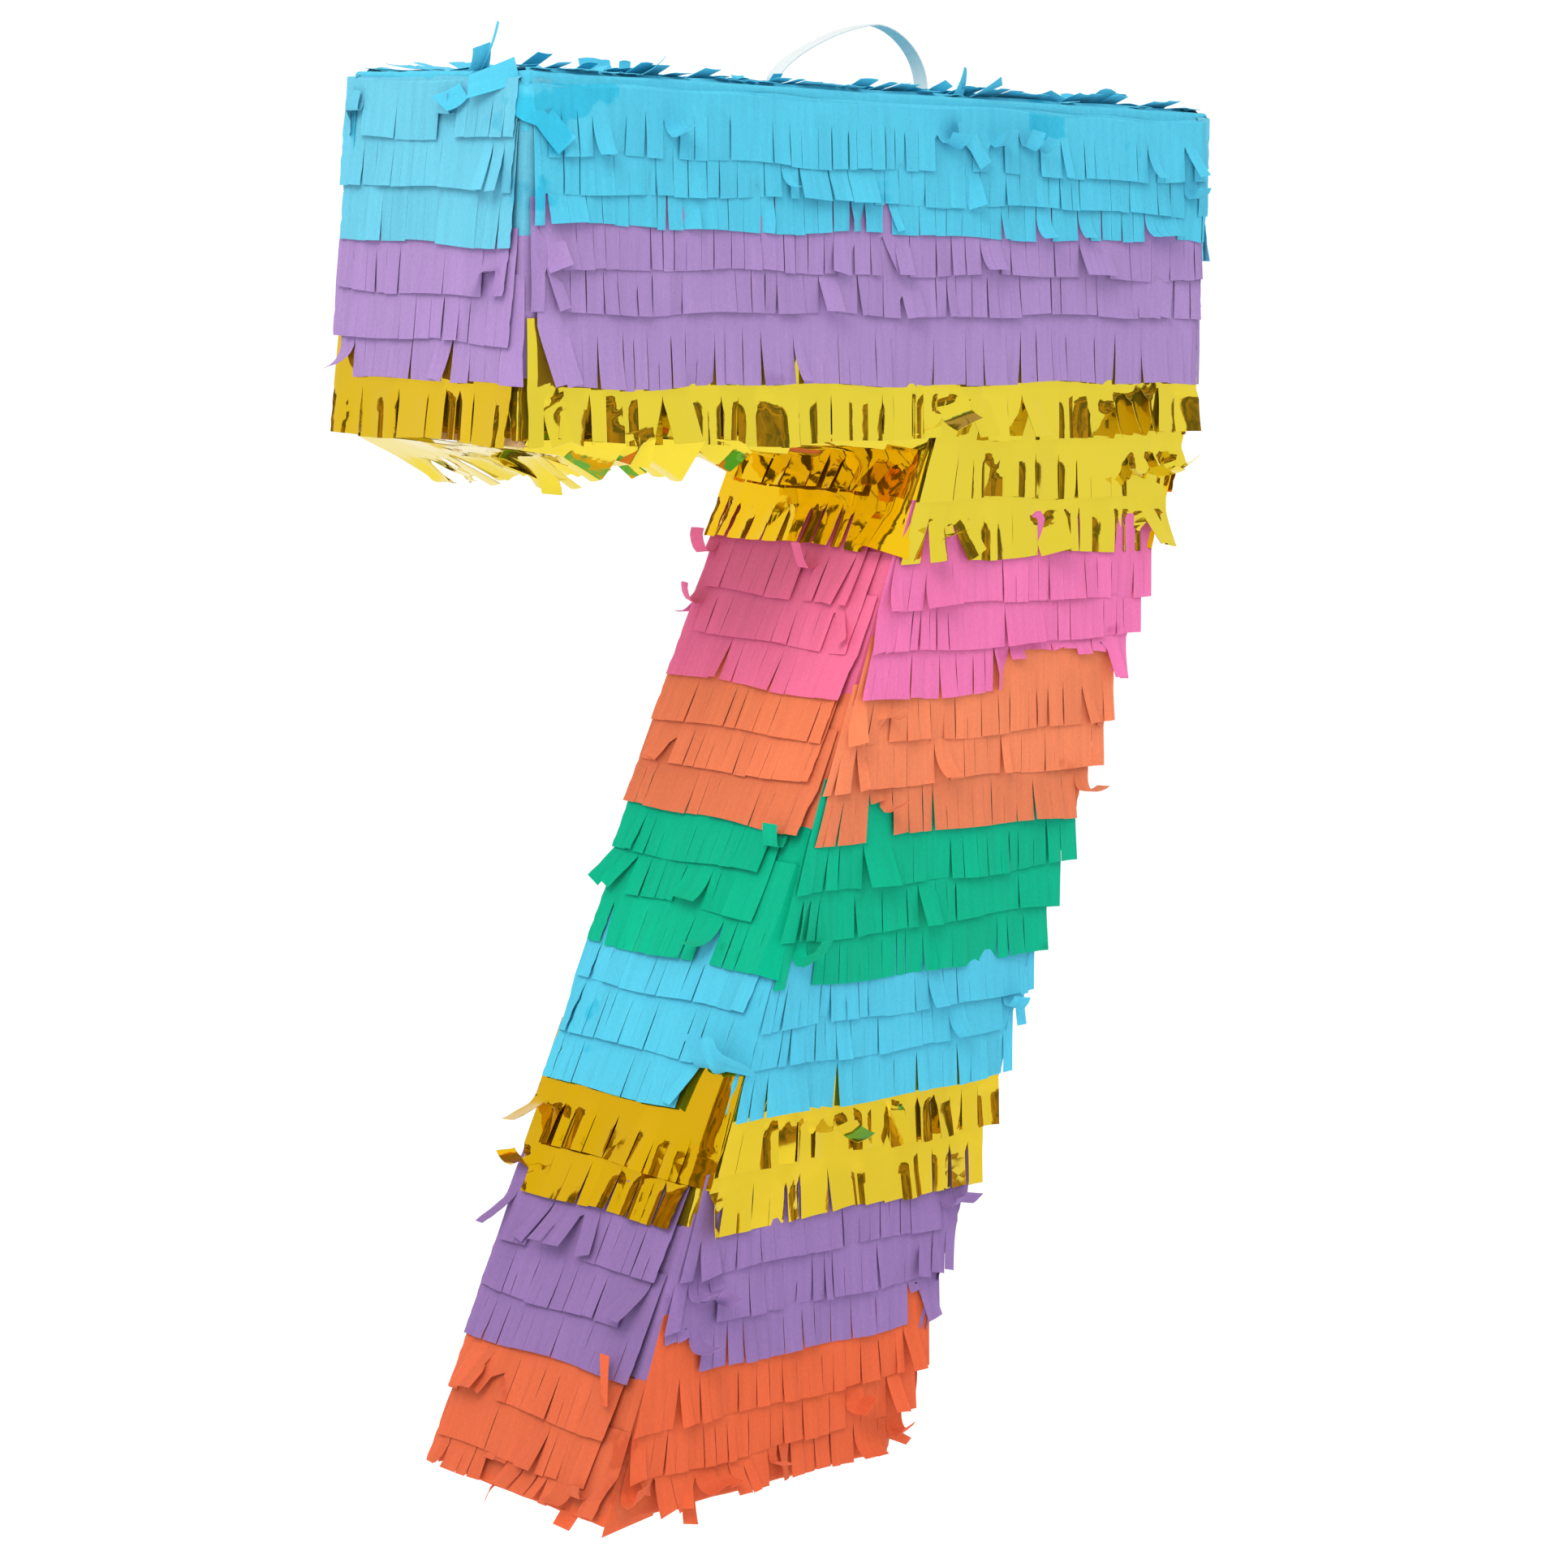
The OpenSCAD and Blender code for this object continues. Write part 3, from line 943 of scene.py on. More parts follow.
        set_coordinates(strip.data, self.face.place(u, v, height))
        map_paper(strip.data, u, v)
        # Each tab's tone varies at random; the strip's shade multiplies it, which on some side strips
        # is painted shade or light
        shade = np.where(in_head, 1.0, (1 + rng.normal(0, 0.024, count))[groups][tab])
        set_value(strip.data, "tint", shade * self.shade)
        # Share of the deeper colour: glue stains on tissue; on foil a deeper tone, and on its sides
        # painted bounce light
        damp = np.full(len(u), self.deep_tone_and_bounce)
        for across_at, down_at, radius in self.stains:
            away = np.hypot(u / MM - across_at, (v / MM - down_at) * 1.3) / radius
            damp = np.maximum(damp, np.clip(1.25 - away, 0, 1))
        set_value(strip.data, "damp", damp)
        return strip


def set_value(mesh: bpy.types.Mesh, name: str, values: np.ndarray) -> None:
    """Writes a number for each point to a named attribute of a mesh."""
    layer = mesh.attributes.new(name, "FLOAT", "POINT")
    layer.data.foreach_set("value", np.asarray(values, np.float32))


def map_paper(mesh: bpy.types.Mesh, u: np.ndarray, v: np.ndarray) -> None:
    """Sets the UV map to the unrolled paper, in metres."""
    corners = np.empty(len(mesh.loops), int)
    mesh.loops.foreach_get("vertex_index", corners)
    mapped = np.stack([u[corners], v[corners]], axis=1).astype(np.float32)
    mesh.uv_layers.active.data.foreach_set("uv", mapped.ravel())


@dataclass
class Lining:
    """Uncut paper under the fringe of a side, which runs round both corners and is creased there."""

    name: str
    face: Face
    top: float
    bottom: float
    overlap: float = 9 * MM
    height: float = 0.75 * MM

    COLUMN = 1.3 * MM
    ROW = 2.2 * MM

    def build(self) -> bpy.types.Object:
        """Makes the lining.

        Returns:
            An open sheet, with its UV map in metres and an even tone.
        """
        rng = seed_for(self.name)
        length = self.face.length + 2 * self.overlap
        deselect_all()
        bpy.ops.mesh.primitive_grid_add(
            x_subdivisions=round(length / self.COLUMN), size=1.0, calc_uvs=True,
            y_subdivisions=max(2, round((self.bottom - self.top) / self.ROW)))
        sheet = bpy.context.object
        sheet.name = self.name
        flat = coordinates(sheet.data)
        u = (flat[:, 0] + 0.5) * length - self.overlap
        v = self.top + (0.5 - flat[:, 1]) * (self.bottom - self.top)
        past = np.abs(u - self.face.length / 2) - self.face.length / 2
        corner = np.clip(1 - np.abs(past - 3 * MM) / (7 * MM), 0, 1)
        phase = rng.uniform(0, 6.3, 3)
        folds = (np.abs(np.sin(u / (1.9 * MM) + phase[0] + 1.8 * np.sin(v / (4.1 * MM) + phase[1])))
                 + 0.8 * np.abs(np.sin(v / (2.7 * MM) + phase[2] + np.sin(u / (2.2 * MM)))))
        ragged = np.where(flat[:, 0] > 0.499, rng.normal(0, 0.8 * MM, len(u)), 0)
        h = self.height + corner * 0.42 * MM * folds
        set_coordinates(sheet.data, self.face.place(u + ragged, v, h))
        map_paper(sheet.data, u, v)
        set_value(sheet.data, "tint", np.full(len(u), 0.97))
        return sheet


@dataclass
class Cap:
    """A sheet folded over one end of the body like a lid, with soft, creased edges."""

    name: str
    low: Vector
    high: Vector
    slope: float
    downwards: bool
    fold_radius: float = 0.9 * MM

    def build(self) -> bpy.types.Object:
        """Makes the cap from a box whose open side is taken off.

        Returns:
            An open sheet, with its UV map and an even tone.
        """
        deselect_all()
        size = self.high - self.low
        bpy.ops.mesh.primitive_cube_add(size=1.0, location=(self.low + self.high) / 2, scale=size)
        cap = bpy.context.object
        cap.name = self.name
        bpy.ops.object.transform_apply(location=True, rotation=True, scale=True)
        points = coordinates(cap.data)
        closed, opened = (self.low.z, self.high.z) if self.downwards else (self.high.z, self.low.z)
        rim = np.isclose(points[:, 2], opened, atol=1e-6)
        points[:, 0] += np.where(rim, self.slope * size.z, 0)
        set_coordinates(cap.data, points)
        select(cap.data, faces=[all(rim[i] for i in face.vertices) for face in cap.data.polygons])
        bpy.ops.object.mode_set(mode="EDIT")
        bpy.ops.mesh.delete(type="FACE")
        bpy.ops.object.mode_set(mode="OBJECT")
        rim = np.isclose(coordinates(cap.data)[:, 2], opened, atol=1e-6)
        select(cap.data, edges=[not all(rim[i] for i in edge.vertices) for edge in cap.data.edges])
        bpy.ops.object.mode_set(mode="EDIT")
        bpy.ops.mesh.bevel(offset=self.fold_radius, segments=4, profile=0.5, affect="EDGES")
        for _ in range(4):
            bpy.ops.mesh.select_all(action="SELECT")
            bpy.ops.mesh.subdivide(number_cuts=1, quadcorner="INNERVERT")
        bpy.ops.uv.cube_project(cube_size=1.0, correct_aspect=False, scale_to_bounds=False)
        bpy.ops.object.mode_set(mode="OBJECT")
        self.crease(cap, closed)
        set_value(cap.data, "tint", np.full(len(cap.data.vertices), 0.97))
        return cap

    def crease(self, cap: bpy.types.Object, closed: float) -> None:
        """Pushes shallow folds into the cap, most of them along its edges."""
        points = coordinates(cap.data)
        normals = np.empty(len(cap.data.vertices) * 3)
        cap.data.vertices.foreach_get("normal", normals)
        x, y, z = points.T / MM
        folds = (np.abs(np.sin(x / 3.1 + 1.7 * np.sin(z / 2.3 + y / 5))) * 0.5
                 + np.abs(np.sin(y / 2.7 + z / 3.9 + np.sin(x / 4.3))) * 0.5)
        near = np.exp(-np.abs(z - closed / MM) / 6)
        depth = folds * (0.15 + 0.35 * near) * MM
        set_coordinates(cap.data, points + normals.reshape(-1, 3) * depth[:, None])


@dataclass
class Scrap:
    """A stray slip of paper: where it starts, which way it goes, and how it bends."""

    base: tuple[float, float, float]
    heading: tuple[float, float, float]
    across: tuple[float, float, float]
    length: float
    width: float
    bend: float = 0.0
    twist: float = 0.0
    taper: float = 1.0

    STEPS = 10

    def build(self) -> bpy.types.Object:
        """Makes the slip as a narrow grid, bent about its width.

        Returns:
            An open sheet, with its UV map and an even tone.
        """
        deselect_all()
        bpy.ops.mesh.primitive_grid_add(x_subdivisions=3, y_subdivisions=self.STEPS, size=1.0,
                                        calc_uvs=True)
        slip = bpy.context.object
        flat = coordinates(slip.data)
        step = np.rint((flat[:, 1] + 0.5) * self.STEPS).astype(int)
        ahead, side = Vector(self.heading).normalized(), Vector(self.across).normalized()
        rise = ahead.cross(side).normalized()
        angles = np.linspace(0, math.radians(self.bend), self.STEPS + 1)
        middle = (angles[1:] + angles[:-1]) / 2
        size = self.length * MM / self.STEPS
        along = np.concatenate([[0], np.cumsum(np.cos(middle))]) * size
        lifted = np.concatenate([[0], np.cumsum(np.sin(middle))]) * size
        spin = math.radians(self.twist) * step / self.STEPS
        width = flat[:, 0] * self.width * MM * (1 + (self.taper - 1) * step / self.STEPS)
        points = (np.array(self.base) * MM + along[step][:, None] * np.array(ahead)
                  + lifted[step][:, None] * np.array(rise)
                  + (width * np.cos(spin))[:, None] * np.array(side)
                  + (width * np.sin(spin))[:, None] * np.array(rise))
        set_coordinates(slip.data, points)
        map_paper(slip.data, flat[:, 0] * self.width * MM, flat[:, 1] * self.length * MM)
        set_value(slip.data, "tint", np.ones(len(step)))
        return slip


@dataclass(frozen=True)
class Band:
    """A colour band: how many tiers it has, and what they are cut from."""

    name: str
    finish: Finish
    slot: str
    tiers: int


BANDS = (
    Band("upper_blue", BLUE, "tissue_blue", 3), Band("upper_purple", PURPLE, "tissue_purple", 3),
    Band("upper_gold", GOLD, "gold_foil", 3), Band("pink", PINK, "tissue_pink", 3),
    Band("coral", CORAL, "tissue_coral", 3), Band("green", GREEN, "tissue_green", 3),
    Band("lower_blue", BLUE, "tissue_blue", 3), Band("lower_gold", GOLD, "gold_foil", 2),
    Band("lower_purple", DEEP_PURPLE, "tissue_purple", 3), Band("red", RED, "tissue_red", 3),
)

# Tips of the tiers, as shares of the bar's height and then of the stem's height
FRONT_BAR = (0.21, 0.31, 0.40, 0.515, 0.635, 0.84, 1.005)
SIDE_BAR = (0.17, 0.31, 0.46, 0.595, 0.73, 0.84, 1.005)
FRONT_STEM = (0.061, 0.118, 0.163, 0.204, 0.249, 0.291, 0.334, 0.383, 0.430, 0.474, 0.519,
              0.557, 0.593, 0.639, 0.688, 0.744, 0.781, 0.829, 0.874, 0.922, 0.965, 1.002)
SIDE_STEM = (0.058, 0.115, 0.166, 0.208, 0.252, 0.294, 0.332, 0.377, 0.419, 0.460, 0.508,
             0.543, 0.594, 0.639, 0.700, 0.744, 0.791, 0.837, 0.882, 0.933, 0.978, 1.002)
BAR_TIERS = len(FRONT_BAR)
LAST_TIER, DARK_TIER = 28, 14
CORNER_FOIL, LOW_FOIL = (7, 8), (19, 20, 21, 22)  # foil at the inner corner and low on the stem

COVER_GAP = 0.75 * MM  # how far the lids' paper stands off the board

# Where a strip of the left stops short of the front corner, in millimetres; the others reach it
SHORT_ENDS = {3: 3, 9: 9, 10: 4, 12: 3, 13: 3, 15: 6, 16: 9, 22: 4, 23: 4, 24: 7, 25: 3, 26: 6, 27: 8}


def finish_piece(piece: bpy.types.Object, finish: Finish, body: str,
                 replaced: tuple[str, ...], thickness: float = 0.14 * MM) -> bpy.types.Object:
    """Gives a paper piece its thickness, finish and place in the frame.

    Args:
        piece: The open sheet.
        finish: What it is made of.
        body: The body it rides on.
        replaced: The CAD nodes it stands for.
        thickness: The paper's thickness, drawn heavier than it is so that it stays closed.

    Returns:
        The piece.
    """
    apply_modifier(piece, "SOLIDIFY", thickness=thickness, offset=0.0, use_even_offset=False)
    smooth(piece)
    dress(piece, finish)
    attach(piece, body)
    if replaced:
        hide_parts(*replaced)
    LOG.info("%s: %d faces", piece.name, len(piece.data.polygons))
    return piece


@dataclass
class Fringe:
    """All tiers of fringe on the numeral's faces."""

    numeral: Numeral
    wear: dict[str, dict[int, tuple]]
    window: tuple[float, float, float, float] = (48 * MM, 120 * MM, 25 * MM, 69 * MM)
    hidden: float = 19 * MM  # how far a strip goes on under the strip over it
    turn_over: float = 8 * MM  # how far the first strip goes on over the top
    tissue_slit: float = 17 * MM
    foil_slit: float = 14 * MM
    least_slit: float = 14 * MM
    slit_share: float = 0.62  # no slit is a longer share of its strip

    def levels(self, bar: tuple[float, ...], stem: tuple[float, ...]) -> list[float]:
        """Levels of the tips under the top, tier by tier, from a zero."""
        n = self.numeral
        rest = n.height - n.bar_height
        return [0.0] + [s * n.bar_height for s in bar] + [n.bar_height + s * rest for s in stem]

    def worn(self, place: str, tier: int) -> list[Damage]:
        """Returns what handling has done to a strip."""
        return [Damage(*row) for row in self.wear.get(place, {}).get(tier, ())]

    def cut(self, band: Band, tier: int, tip: float, pitch: float, clear: float,
            first_slit: float) -> dict:
        """How tall a strip is, how far it is slit, and how much of its slits the next one covers.

        Args:
            band: The strip's band.
            tier: Its tier.
            tip: The level of its tips.
            pitch: How far that is under the tips of the tier above.
            clear: How far its head stays under the edge.
            first_slit: The slits' length on the first tier.

        Returns:
            Settings for the strip.
        """
        head = min(self.hidden + pitch, tip - clear) if tier else tip + self.turn_over
        longest = self.foil_slit if isinstance(band.finish, GoldFoil) else self.tissue_slit
        slit = min(longest if tier else first_slit, max(self.least_slit, pitch), head * self.slit_share)
        return {"head": head, "slit": slit, "covered": max(0.0, slit - pitch)}

    def style(self, finish: Finish, tier: int) -> dict:
        """How the tabs of a tier are cut and how they hang.

        Args:
            finish: The strip's material.
            tier: The strip's tier.

        Returns:
            Settings for the strip.
        """
        if isinstance(finish, GoldFoil):
            low = tier in LOW_FOIL
            return {"looseness": 1.0 if low else 0.7, "cupping": (0.6 if low else 0.4) * MM,
                    "joined": 0.2, "tab_width": 7.6 * MM, "turned": 0.45 if low else 0.36,
                    "deep_tone_and_bounce": 0.35 if low else 0.0}
        if tier == LAST_TIER:
            return {"looseness": 1.5, "joined": 0.25, "shade": 0.97}
        return {"shade": 0.88} if tier == DARK_TIER else {}

    def panel_strips(self, place: str, band: Band, first: int) -> list[bpy.types.Object]:
        """Makes a band's strips for the front or the back.

        Args:
            place: "front" or "back".
            band: The band.
            first: Its first tier.

        Returns:
            The strips.
        """
        n, back = self.numeral, place == "back"
        tips = self.levels(FRONT_BAR, FRONT_STEM)
        sheets = []
        for tier in range(first, first + band.tiers):
            rng = seed_for(f"{place}{tier}")
            tip = tips[tier + 1]
            style = {"head_height": 1.7 * MM, "tip_height": 3.3 * MM, "wrap_height": 3 * MM,
                     "damages": self.worn(place, tier), "stains": () if tier else GLUE_STAINS,
                     **self.cut(band, tier, tip, tip - tips[tier], 2 * MM, 13 * MM),
                     **self.style(band.finish, tier)}
            if tier >= BAR_TIERS:
                out = rng.uniform(-3.5, -1.0) if tier in SHORT_ENDS else rng.uniform(-1.5, 1.5)
                head_left = n.stem_left(0.0)
                edge = (head_left + min(0.8, out + 0.8) * MM, n.stem_left(1.0) - head_left)
                end = n.stem_right(tip - 20 * MM) + rng.uniform(-2, 0.5) * MM
                sheets.append(Strip(
                    f"{place}_{tier:02d}", n.panel_face(back, folds=False), n.stem_left(tip) + out * MM,
                    end, tip, left_edge=edge, **style).build())
                continue
            start = rng.uniform(0.5, 3.5) * MM if tier else -2 * MM
            end = n.width + rng.uniform(-1.5, 3) * MM
            spans = [(start, end, tip, style["head"])]
            if back:
                spans = self.around_window(*spans[0])
            for k, (low, high, lowest, tall) in enumerate(spans):
                shape = dict(style, head=tall, slit=min(style["slit"], tall * self.slit_share))
                if k == 2 and lowest < self.window[2]:
                    shape.update(self.FLAT)
                sheets.append(Strip(f"{place}_{tier:02d}_{k}", n.panel_face(back, lip=tier == 0),
                                    low, high, lowest, **shape).build())
        if band.name == "upper_gold":
            sheets.append(Lining(f"{place}_lining", n.panel_face(back), 85 * MM,
                                 n.bar_height - 1.5 * MM, overlap=1.5 * MM).build())
        return sheets

    # Strips right over the flap stay flat, so that the flap folds up clear of them
    FLAT = {"head_height": 1.0 * MM, "tip_height": 1.4 * MM, "looseness": 0.3, "cupping": 0.1 * MM}

    def around_window(self, start: float, end: float, tip: float,
                      head: float) -> list[tuple[float, float, float, float]]:
        """Splits a strip of the back where the filling flap is.

        Args:
            start: The strip's first end.
            end: Its other end.
            tip: The level of its tips.
            head: Its height.

        Returns:
            A first end, other end, tip level and height for each part.
        """
        left, right, top, bottom = self.window
        beside, over, high = 1.4 * MM, 0.5 * MM, top - 3 * MM
        if tip <= top or tip - head >= bottom:
            return [(start, end, tip, head)]
        parts = [(start, left - beside, tip, head), (right + beside, end, tip, head)]
        if tip - head < top - 12 * MM:
            parts.append((left - over, right + over, high, high - (tip - head)))
        elif tip > bottom + 6 * MM:
            under = min(head, tip - bottom - 0.8 * MM) - max(0.0, tip - 90 * MM) * 0.4
            parts.append((left - over, right + over, tip, under))
        return parts

    def side_strips(self, side: str, band: Band, first: int) -> list[bpy.types.Object]:
        """Makes a band's strips and linings for the left or the right.

        Args:
            side: "left" or "right".
            band: The band.
            first: Its first tier.

        Returns:
            The sheets.
        """
        n, right = self.numeral, side == "right"
        tips = self.levels(SIDE_BAR, SIDE_STEM)
        bar_tiers = BAR_TIERS - 1 if right else BAR_TIERS
        corner = n.right_drop if right else n.bar_height
        sheets, lined = [], {}
        for tier in range(first, first + band.tiers):
            rng = seed_for(f"{side}{tier}")
            on_bar = tier < bar_tiers
            face = n.end_face(right, lip=tier == 0) if on_bar else n.stem_face(right)
            slant = 1.0 if on_bar else abs(face.drop.z)
            tip = (tips[tier + 1] - (0 if on_bar else corner)) / slant
            pitch = (tips[tier + 1] - tips[tier]) / slant
            reach = rng.uniform(4, 7.5) * MM
            if not right:
                face = replace(face, open_start=tier > 0)
                short = SHORT_ENDS.get(tier)
                reach = (-short if short else rng.uniform(-1.5, 1.0)) * MM
            style = {"tip_height": 3.4 * MM, "looseness": 0.75,
                     **self.cut(band, tier, tip, pitch, 0.8 * MM, 11 * MM),
                     **self.style(band.finish, tier)}
            # Foil on the sides: more of the deeper colour as painted bounce light between the foil
            # faces, with painted shade low on the stem and painted light higher up
            if isinstance(band.finish, GoldFoil):
                style.update({"deep_tone_and_bounce": 0.65, "turned": 0.12} if on_bar else
                             {"deep_tone_and_bounce": 1.0, "turned": 0.3, "shade": 0.92} if tier in LOW_FOIL
                             else {"deep_tone_and_bounce": 0.9, "turned": 0.3, "shade": 1.25})
            # The lower purple's sides are darkened by a painted shade
            if band.name == "lower_purple":
                style["shade"] = 0.9
            if tier in CORNER_FOIL:
                style["looseness"] = 1.2
            sheets.append(Strip(
                f"{side}_{tier:02d}", face, -rng.uniform(2.5, 6) * MM, n.depth + reach, tip,
                crumple=0.4 * MM, damages=self.worn(side, tier), **style).build())
            top = lined.get(on_bar, (tip - pitch - 3 * MM, 0.0))[0]
            lined[on_bar] = (max(top, 0.8 * MM), tip - 2.5 * MM)
        for on_bar, (top, bottom) in lined.items():
            face = n.end_face(right) if on_bar else n.stem_face(right)
            sheets.append(Lining(f"{side}_{band.name}_lining_{on_bar}", face, top, bottom).build())
        return sheets

    def top(self) -> None:
        """Makes the top's cover: a lid of tissue, and rows of tabs that reach its edges."""
        n, skin = self.numeral, Vector((COVER_GAP, COVER_GAP, 0))
        low = Vector((n.left, n.front, n.top - 15 * MM)) - skin
        high = Vector((n.right, n.back, n.top)) + skin + Vector((0, 0, COVER_GAP))
        sheets = [Cap("top_cap", low, high, 0.0, False).build()]
        rows = ((15, 14, 9, 2.6, 1.0), (27, 21, 12, 2.6, 1.1), (36.8, 22, 12, 1.8, 1.3))
        for back in (False, True):
            for k, (tip, head, slit, height, loose) in enumerate(rows):
                sheets.append(Strip(
                    f"top_{back}_{k}", n.top_half(back), 2 * MM, n.width - 2 * MM, tip * MM, head * MM,
                    slit=slit * MM, head_height=1.4 * MM, tip_height=height * MM, looseness=loose,
                    damages=[] if back else self.worn("top", k)).build())
        finish_piece(join(sheets, "cut_top_fringe"), BLUE, CASING, ("top_fringe",))

    def foot(self) -> None:
        """Makes the foot's cover: a creased lid of tissue, pulled up round the sides."""
        n, skin = self.numeral, Vector((COVER_GAP, COVER_GAP, 0))
        low = Vector((n.left + n.foot_left, n.front, n.bottom - COVER_GAP)) - skin
        high = Vector((n.left + n.foot_right, n.back, n.bottom + 15 * MM)) + skin
        slope = (n.inner_corner - n.foot_left) / (n.height - n.bar_height)
        cap = Cap("foot_cap", low, high, slope, True).build()
        finish_piece(join([cap], "cut_foot_fringe"), RED, CASING, ("foot_fringe",))

    def underside(self) -> None:
        """Makes the foil rows under the bar, which point to the stem and droop."""
        n = self.numeral
        rows = []
        for k, (tip, near, far) in enumerate((
                (32, 4.5, 15), (45, 4, 11), (62, 4, 8), (82, 3.5, 6.5), (102, 3, 5), (122, 2.6, 4),
                (142, 2.3, 4), (159, 2.2, 3))):
            head = min(34, tip - 1) * MM
            rows.append(Strip(
                f"underside_{k}", n.underside(), -1.5 * MM, n.depth + 1 * MM, tip * MM, head,
                slit=min(self.tissue_slit, head * 0.6), head_height=1.2 * MM, tip_height=near * MM,
                far_height=far * MM, wrap_height=20 * MM, looseness=2.2 if k < 4 else 1.2,
                cupping=0.5 * MM, tab_width=6.5 * MM, joined=0.1, turned=0.3,
                damages=self.worn("under", k)).build())
        rows = join(rows, "cut_underside_fringe")
        finish_piece(rows, GOLD, CASING, ("underside_fringe",))

    def flap(self) -> None:
        """Makes the filling flap's own fringe, which moves with the flap."""
        left, right, top, _ = self.window
        face = self.numeral.panel_face(True, folds=False)
        for name, finish, tiers in (
                ("blue", BLUE, ((31.0, 5.0), (40.0, 12.5))),
                ("purple", PURPLE, ((51.5, 20.0), (63.5, 28.0), (70.6, 26.0)))):
            strips = []
            for k, (tip, head) in enumerate(tiers):
                room = tip - top / MM - 1.4
                strips.append(Strip(
                    f"flap_{name}_{k}", face, left + 0.8 * MM, right - 0.8 * MM, tip * MM,
                    min(head, room) * MM, slit=min(14, room * 0.6) * MM, head_height=0.9 * MM,
                    tip_height=2.6 * MM, looseness=0.6).build())
            node = f"flap_{name}_fringe"
            finish_piece(join(strips, f"cut_{node}"), finish, FLAP, (node,))

    def scraps(self) -> None:
        """Makes the loose slips of tissue along the top edge and round the foot."""
        for name, finish, scraps in (("loose_slips", BLUE, SCRAPS),
                                     ("loose_foot_slips", RED, FOOT_SCRAPS)):
            slips = join([scrap.build() for scrap in scraps], name)
            finish_piece(slips, finish, CASING, ())

    def build(self) -> None:
        """Makes one piece for each band on the front, the back and the two sides, and the covers."""
        first = 0
        for band in BANDS:
            groups = {
                "front": self.panel_strips("front", band, first),
                "back": self.panel_strips("back", band, first),
                "side": self.side_strips("left", band, first) + self.side_strips("right", band, first),
            }
            for place, strips in groups.items():
                node = f"{place}_{band.name}_fringe"
                # Side pieces of four bands take the copies with painted shade and bounce light
                finish = SIDE_PAINTED_LIGHT_FINISHES.get(band.name, band.finish) if place == "side" else band.finish
                finish_piece(join(strips, f"cut_{node}"), finish, CASING, (node,))
            first += band.tiers
        self.top()
        self.foot()
        self.underside()
        self.flap()
        self.scraps()


# -------------------------------------------------------------------- ribbon


@dataclass
class RibbonLoop:
    """The hanging ribbon: one flat band from knot to knot, standing up in a lopsided loop."""

    numeral: Numeral
    width: float = 5.5 * MM
    thickness: float = 0.35 * MM
    span: float = 63 * MM
    crown_share: float = 0.65
    rise: float = 23 * MM
    swing_height: float = 5.2 * MM
    tail: float = 19 * MM
    left_power: float = 1.4
    right_power: float = 1.8

    def path(self) -> list[Vector]:
        """Returns the band's middle line, from the left knot over the crown to the right one."""
        left = -self.crown_share * self.span
        right = left + self.span
        foot = self.numeral.top + self.swing_height
        depth = self.numeral.top - self.tail
        line = [Vector((left, 0, depth + k * (foot - depth) / 4)) for k in range(4)]
        for degrees in range(90, -91, -5):
            t = -math.sin(math.radians(degrees))
            power = self.left_power if t < 0 else self.right_power
            half = abs(left) if t < 0 else right
            arch = max(0.0, 1 - abs(t) ** power) ** (1 / power)
            line.append(Vector((math.copysign(half * abs(t), t), 0,
                                foot + (self.rise - self.swing_height) * arch)))
        line += [Vector((right, 0, foot - (k + 1) * (foot - depth) / 4)) for k in range(4)]
        return line

    def build(self) -> bpy.types.Object:
        """Makes the ribbon as a strip of grid, bent along the path.

        Returns:
            The ribbon.
        """
        line = self.path()
        deselect_all()
        bpy.ops.mesh.primitive_grid_add(x_subdivisions=4, y_subdivisions=len(line) - 1, size=1.0,
                                        calc_uvs=True)
        ribbon = bpy.context.object
        ribbon.name = "hanging_ribbon"
        flat = coordinates(ribbon.data)
        index = np.rint((flat[:, 1] + 0.5) * (len(line) - 1)).astype(int)
        points = np.array(line)[index]
        run = np.concatenate([[0], np.cumsum([(b - a).length for a, b in zip(line, line[1:])])])
        across = flat[:, 0] * self.width
        points[:, 1] += across
        set_coordinates(ribbon.data, points)
        map_paper(ribbon.data, across, run[index])
        apply_modifier(ribbon, "SOLIDIFY", thickness=self.thickness, offset=0.0)
        face_outwards(ribbon)
        smooth(ribbon, 60)
        dress(ribbon, RIBBON)
        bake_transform(ribbon)
        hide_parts("ribbon_loop", "ribbon_tails")
        LOG.info("hanging_ribbon: %.1f mm long", run[-1] / MM)
        return ribbon


# ------------------------------------------------------------ board and studio


def dress_board() -> None:
    """Gives the board pieces, the tape and the knots their finishes; their shapes stay as they are."""
    for name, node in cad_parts.items():
        if node.hide_render:
            continue
        if name.endswith("seam_tape"):
            dress(node, TAPE)
        elif name.startswith("ribbon"):
            dress(node, RIBBON)
        else:
            dress(node, BOARD)
        LOG.info("%s dressed", name)


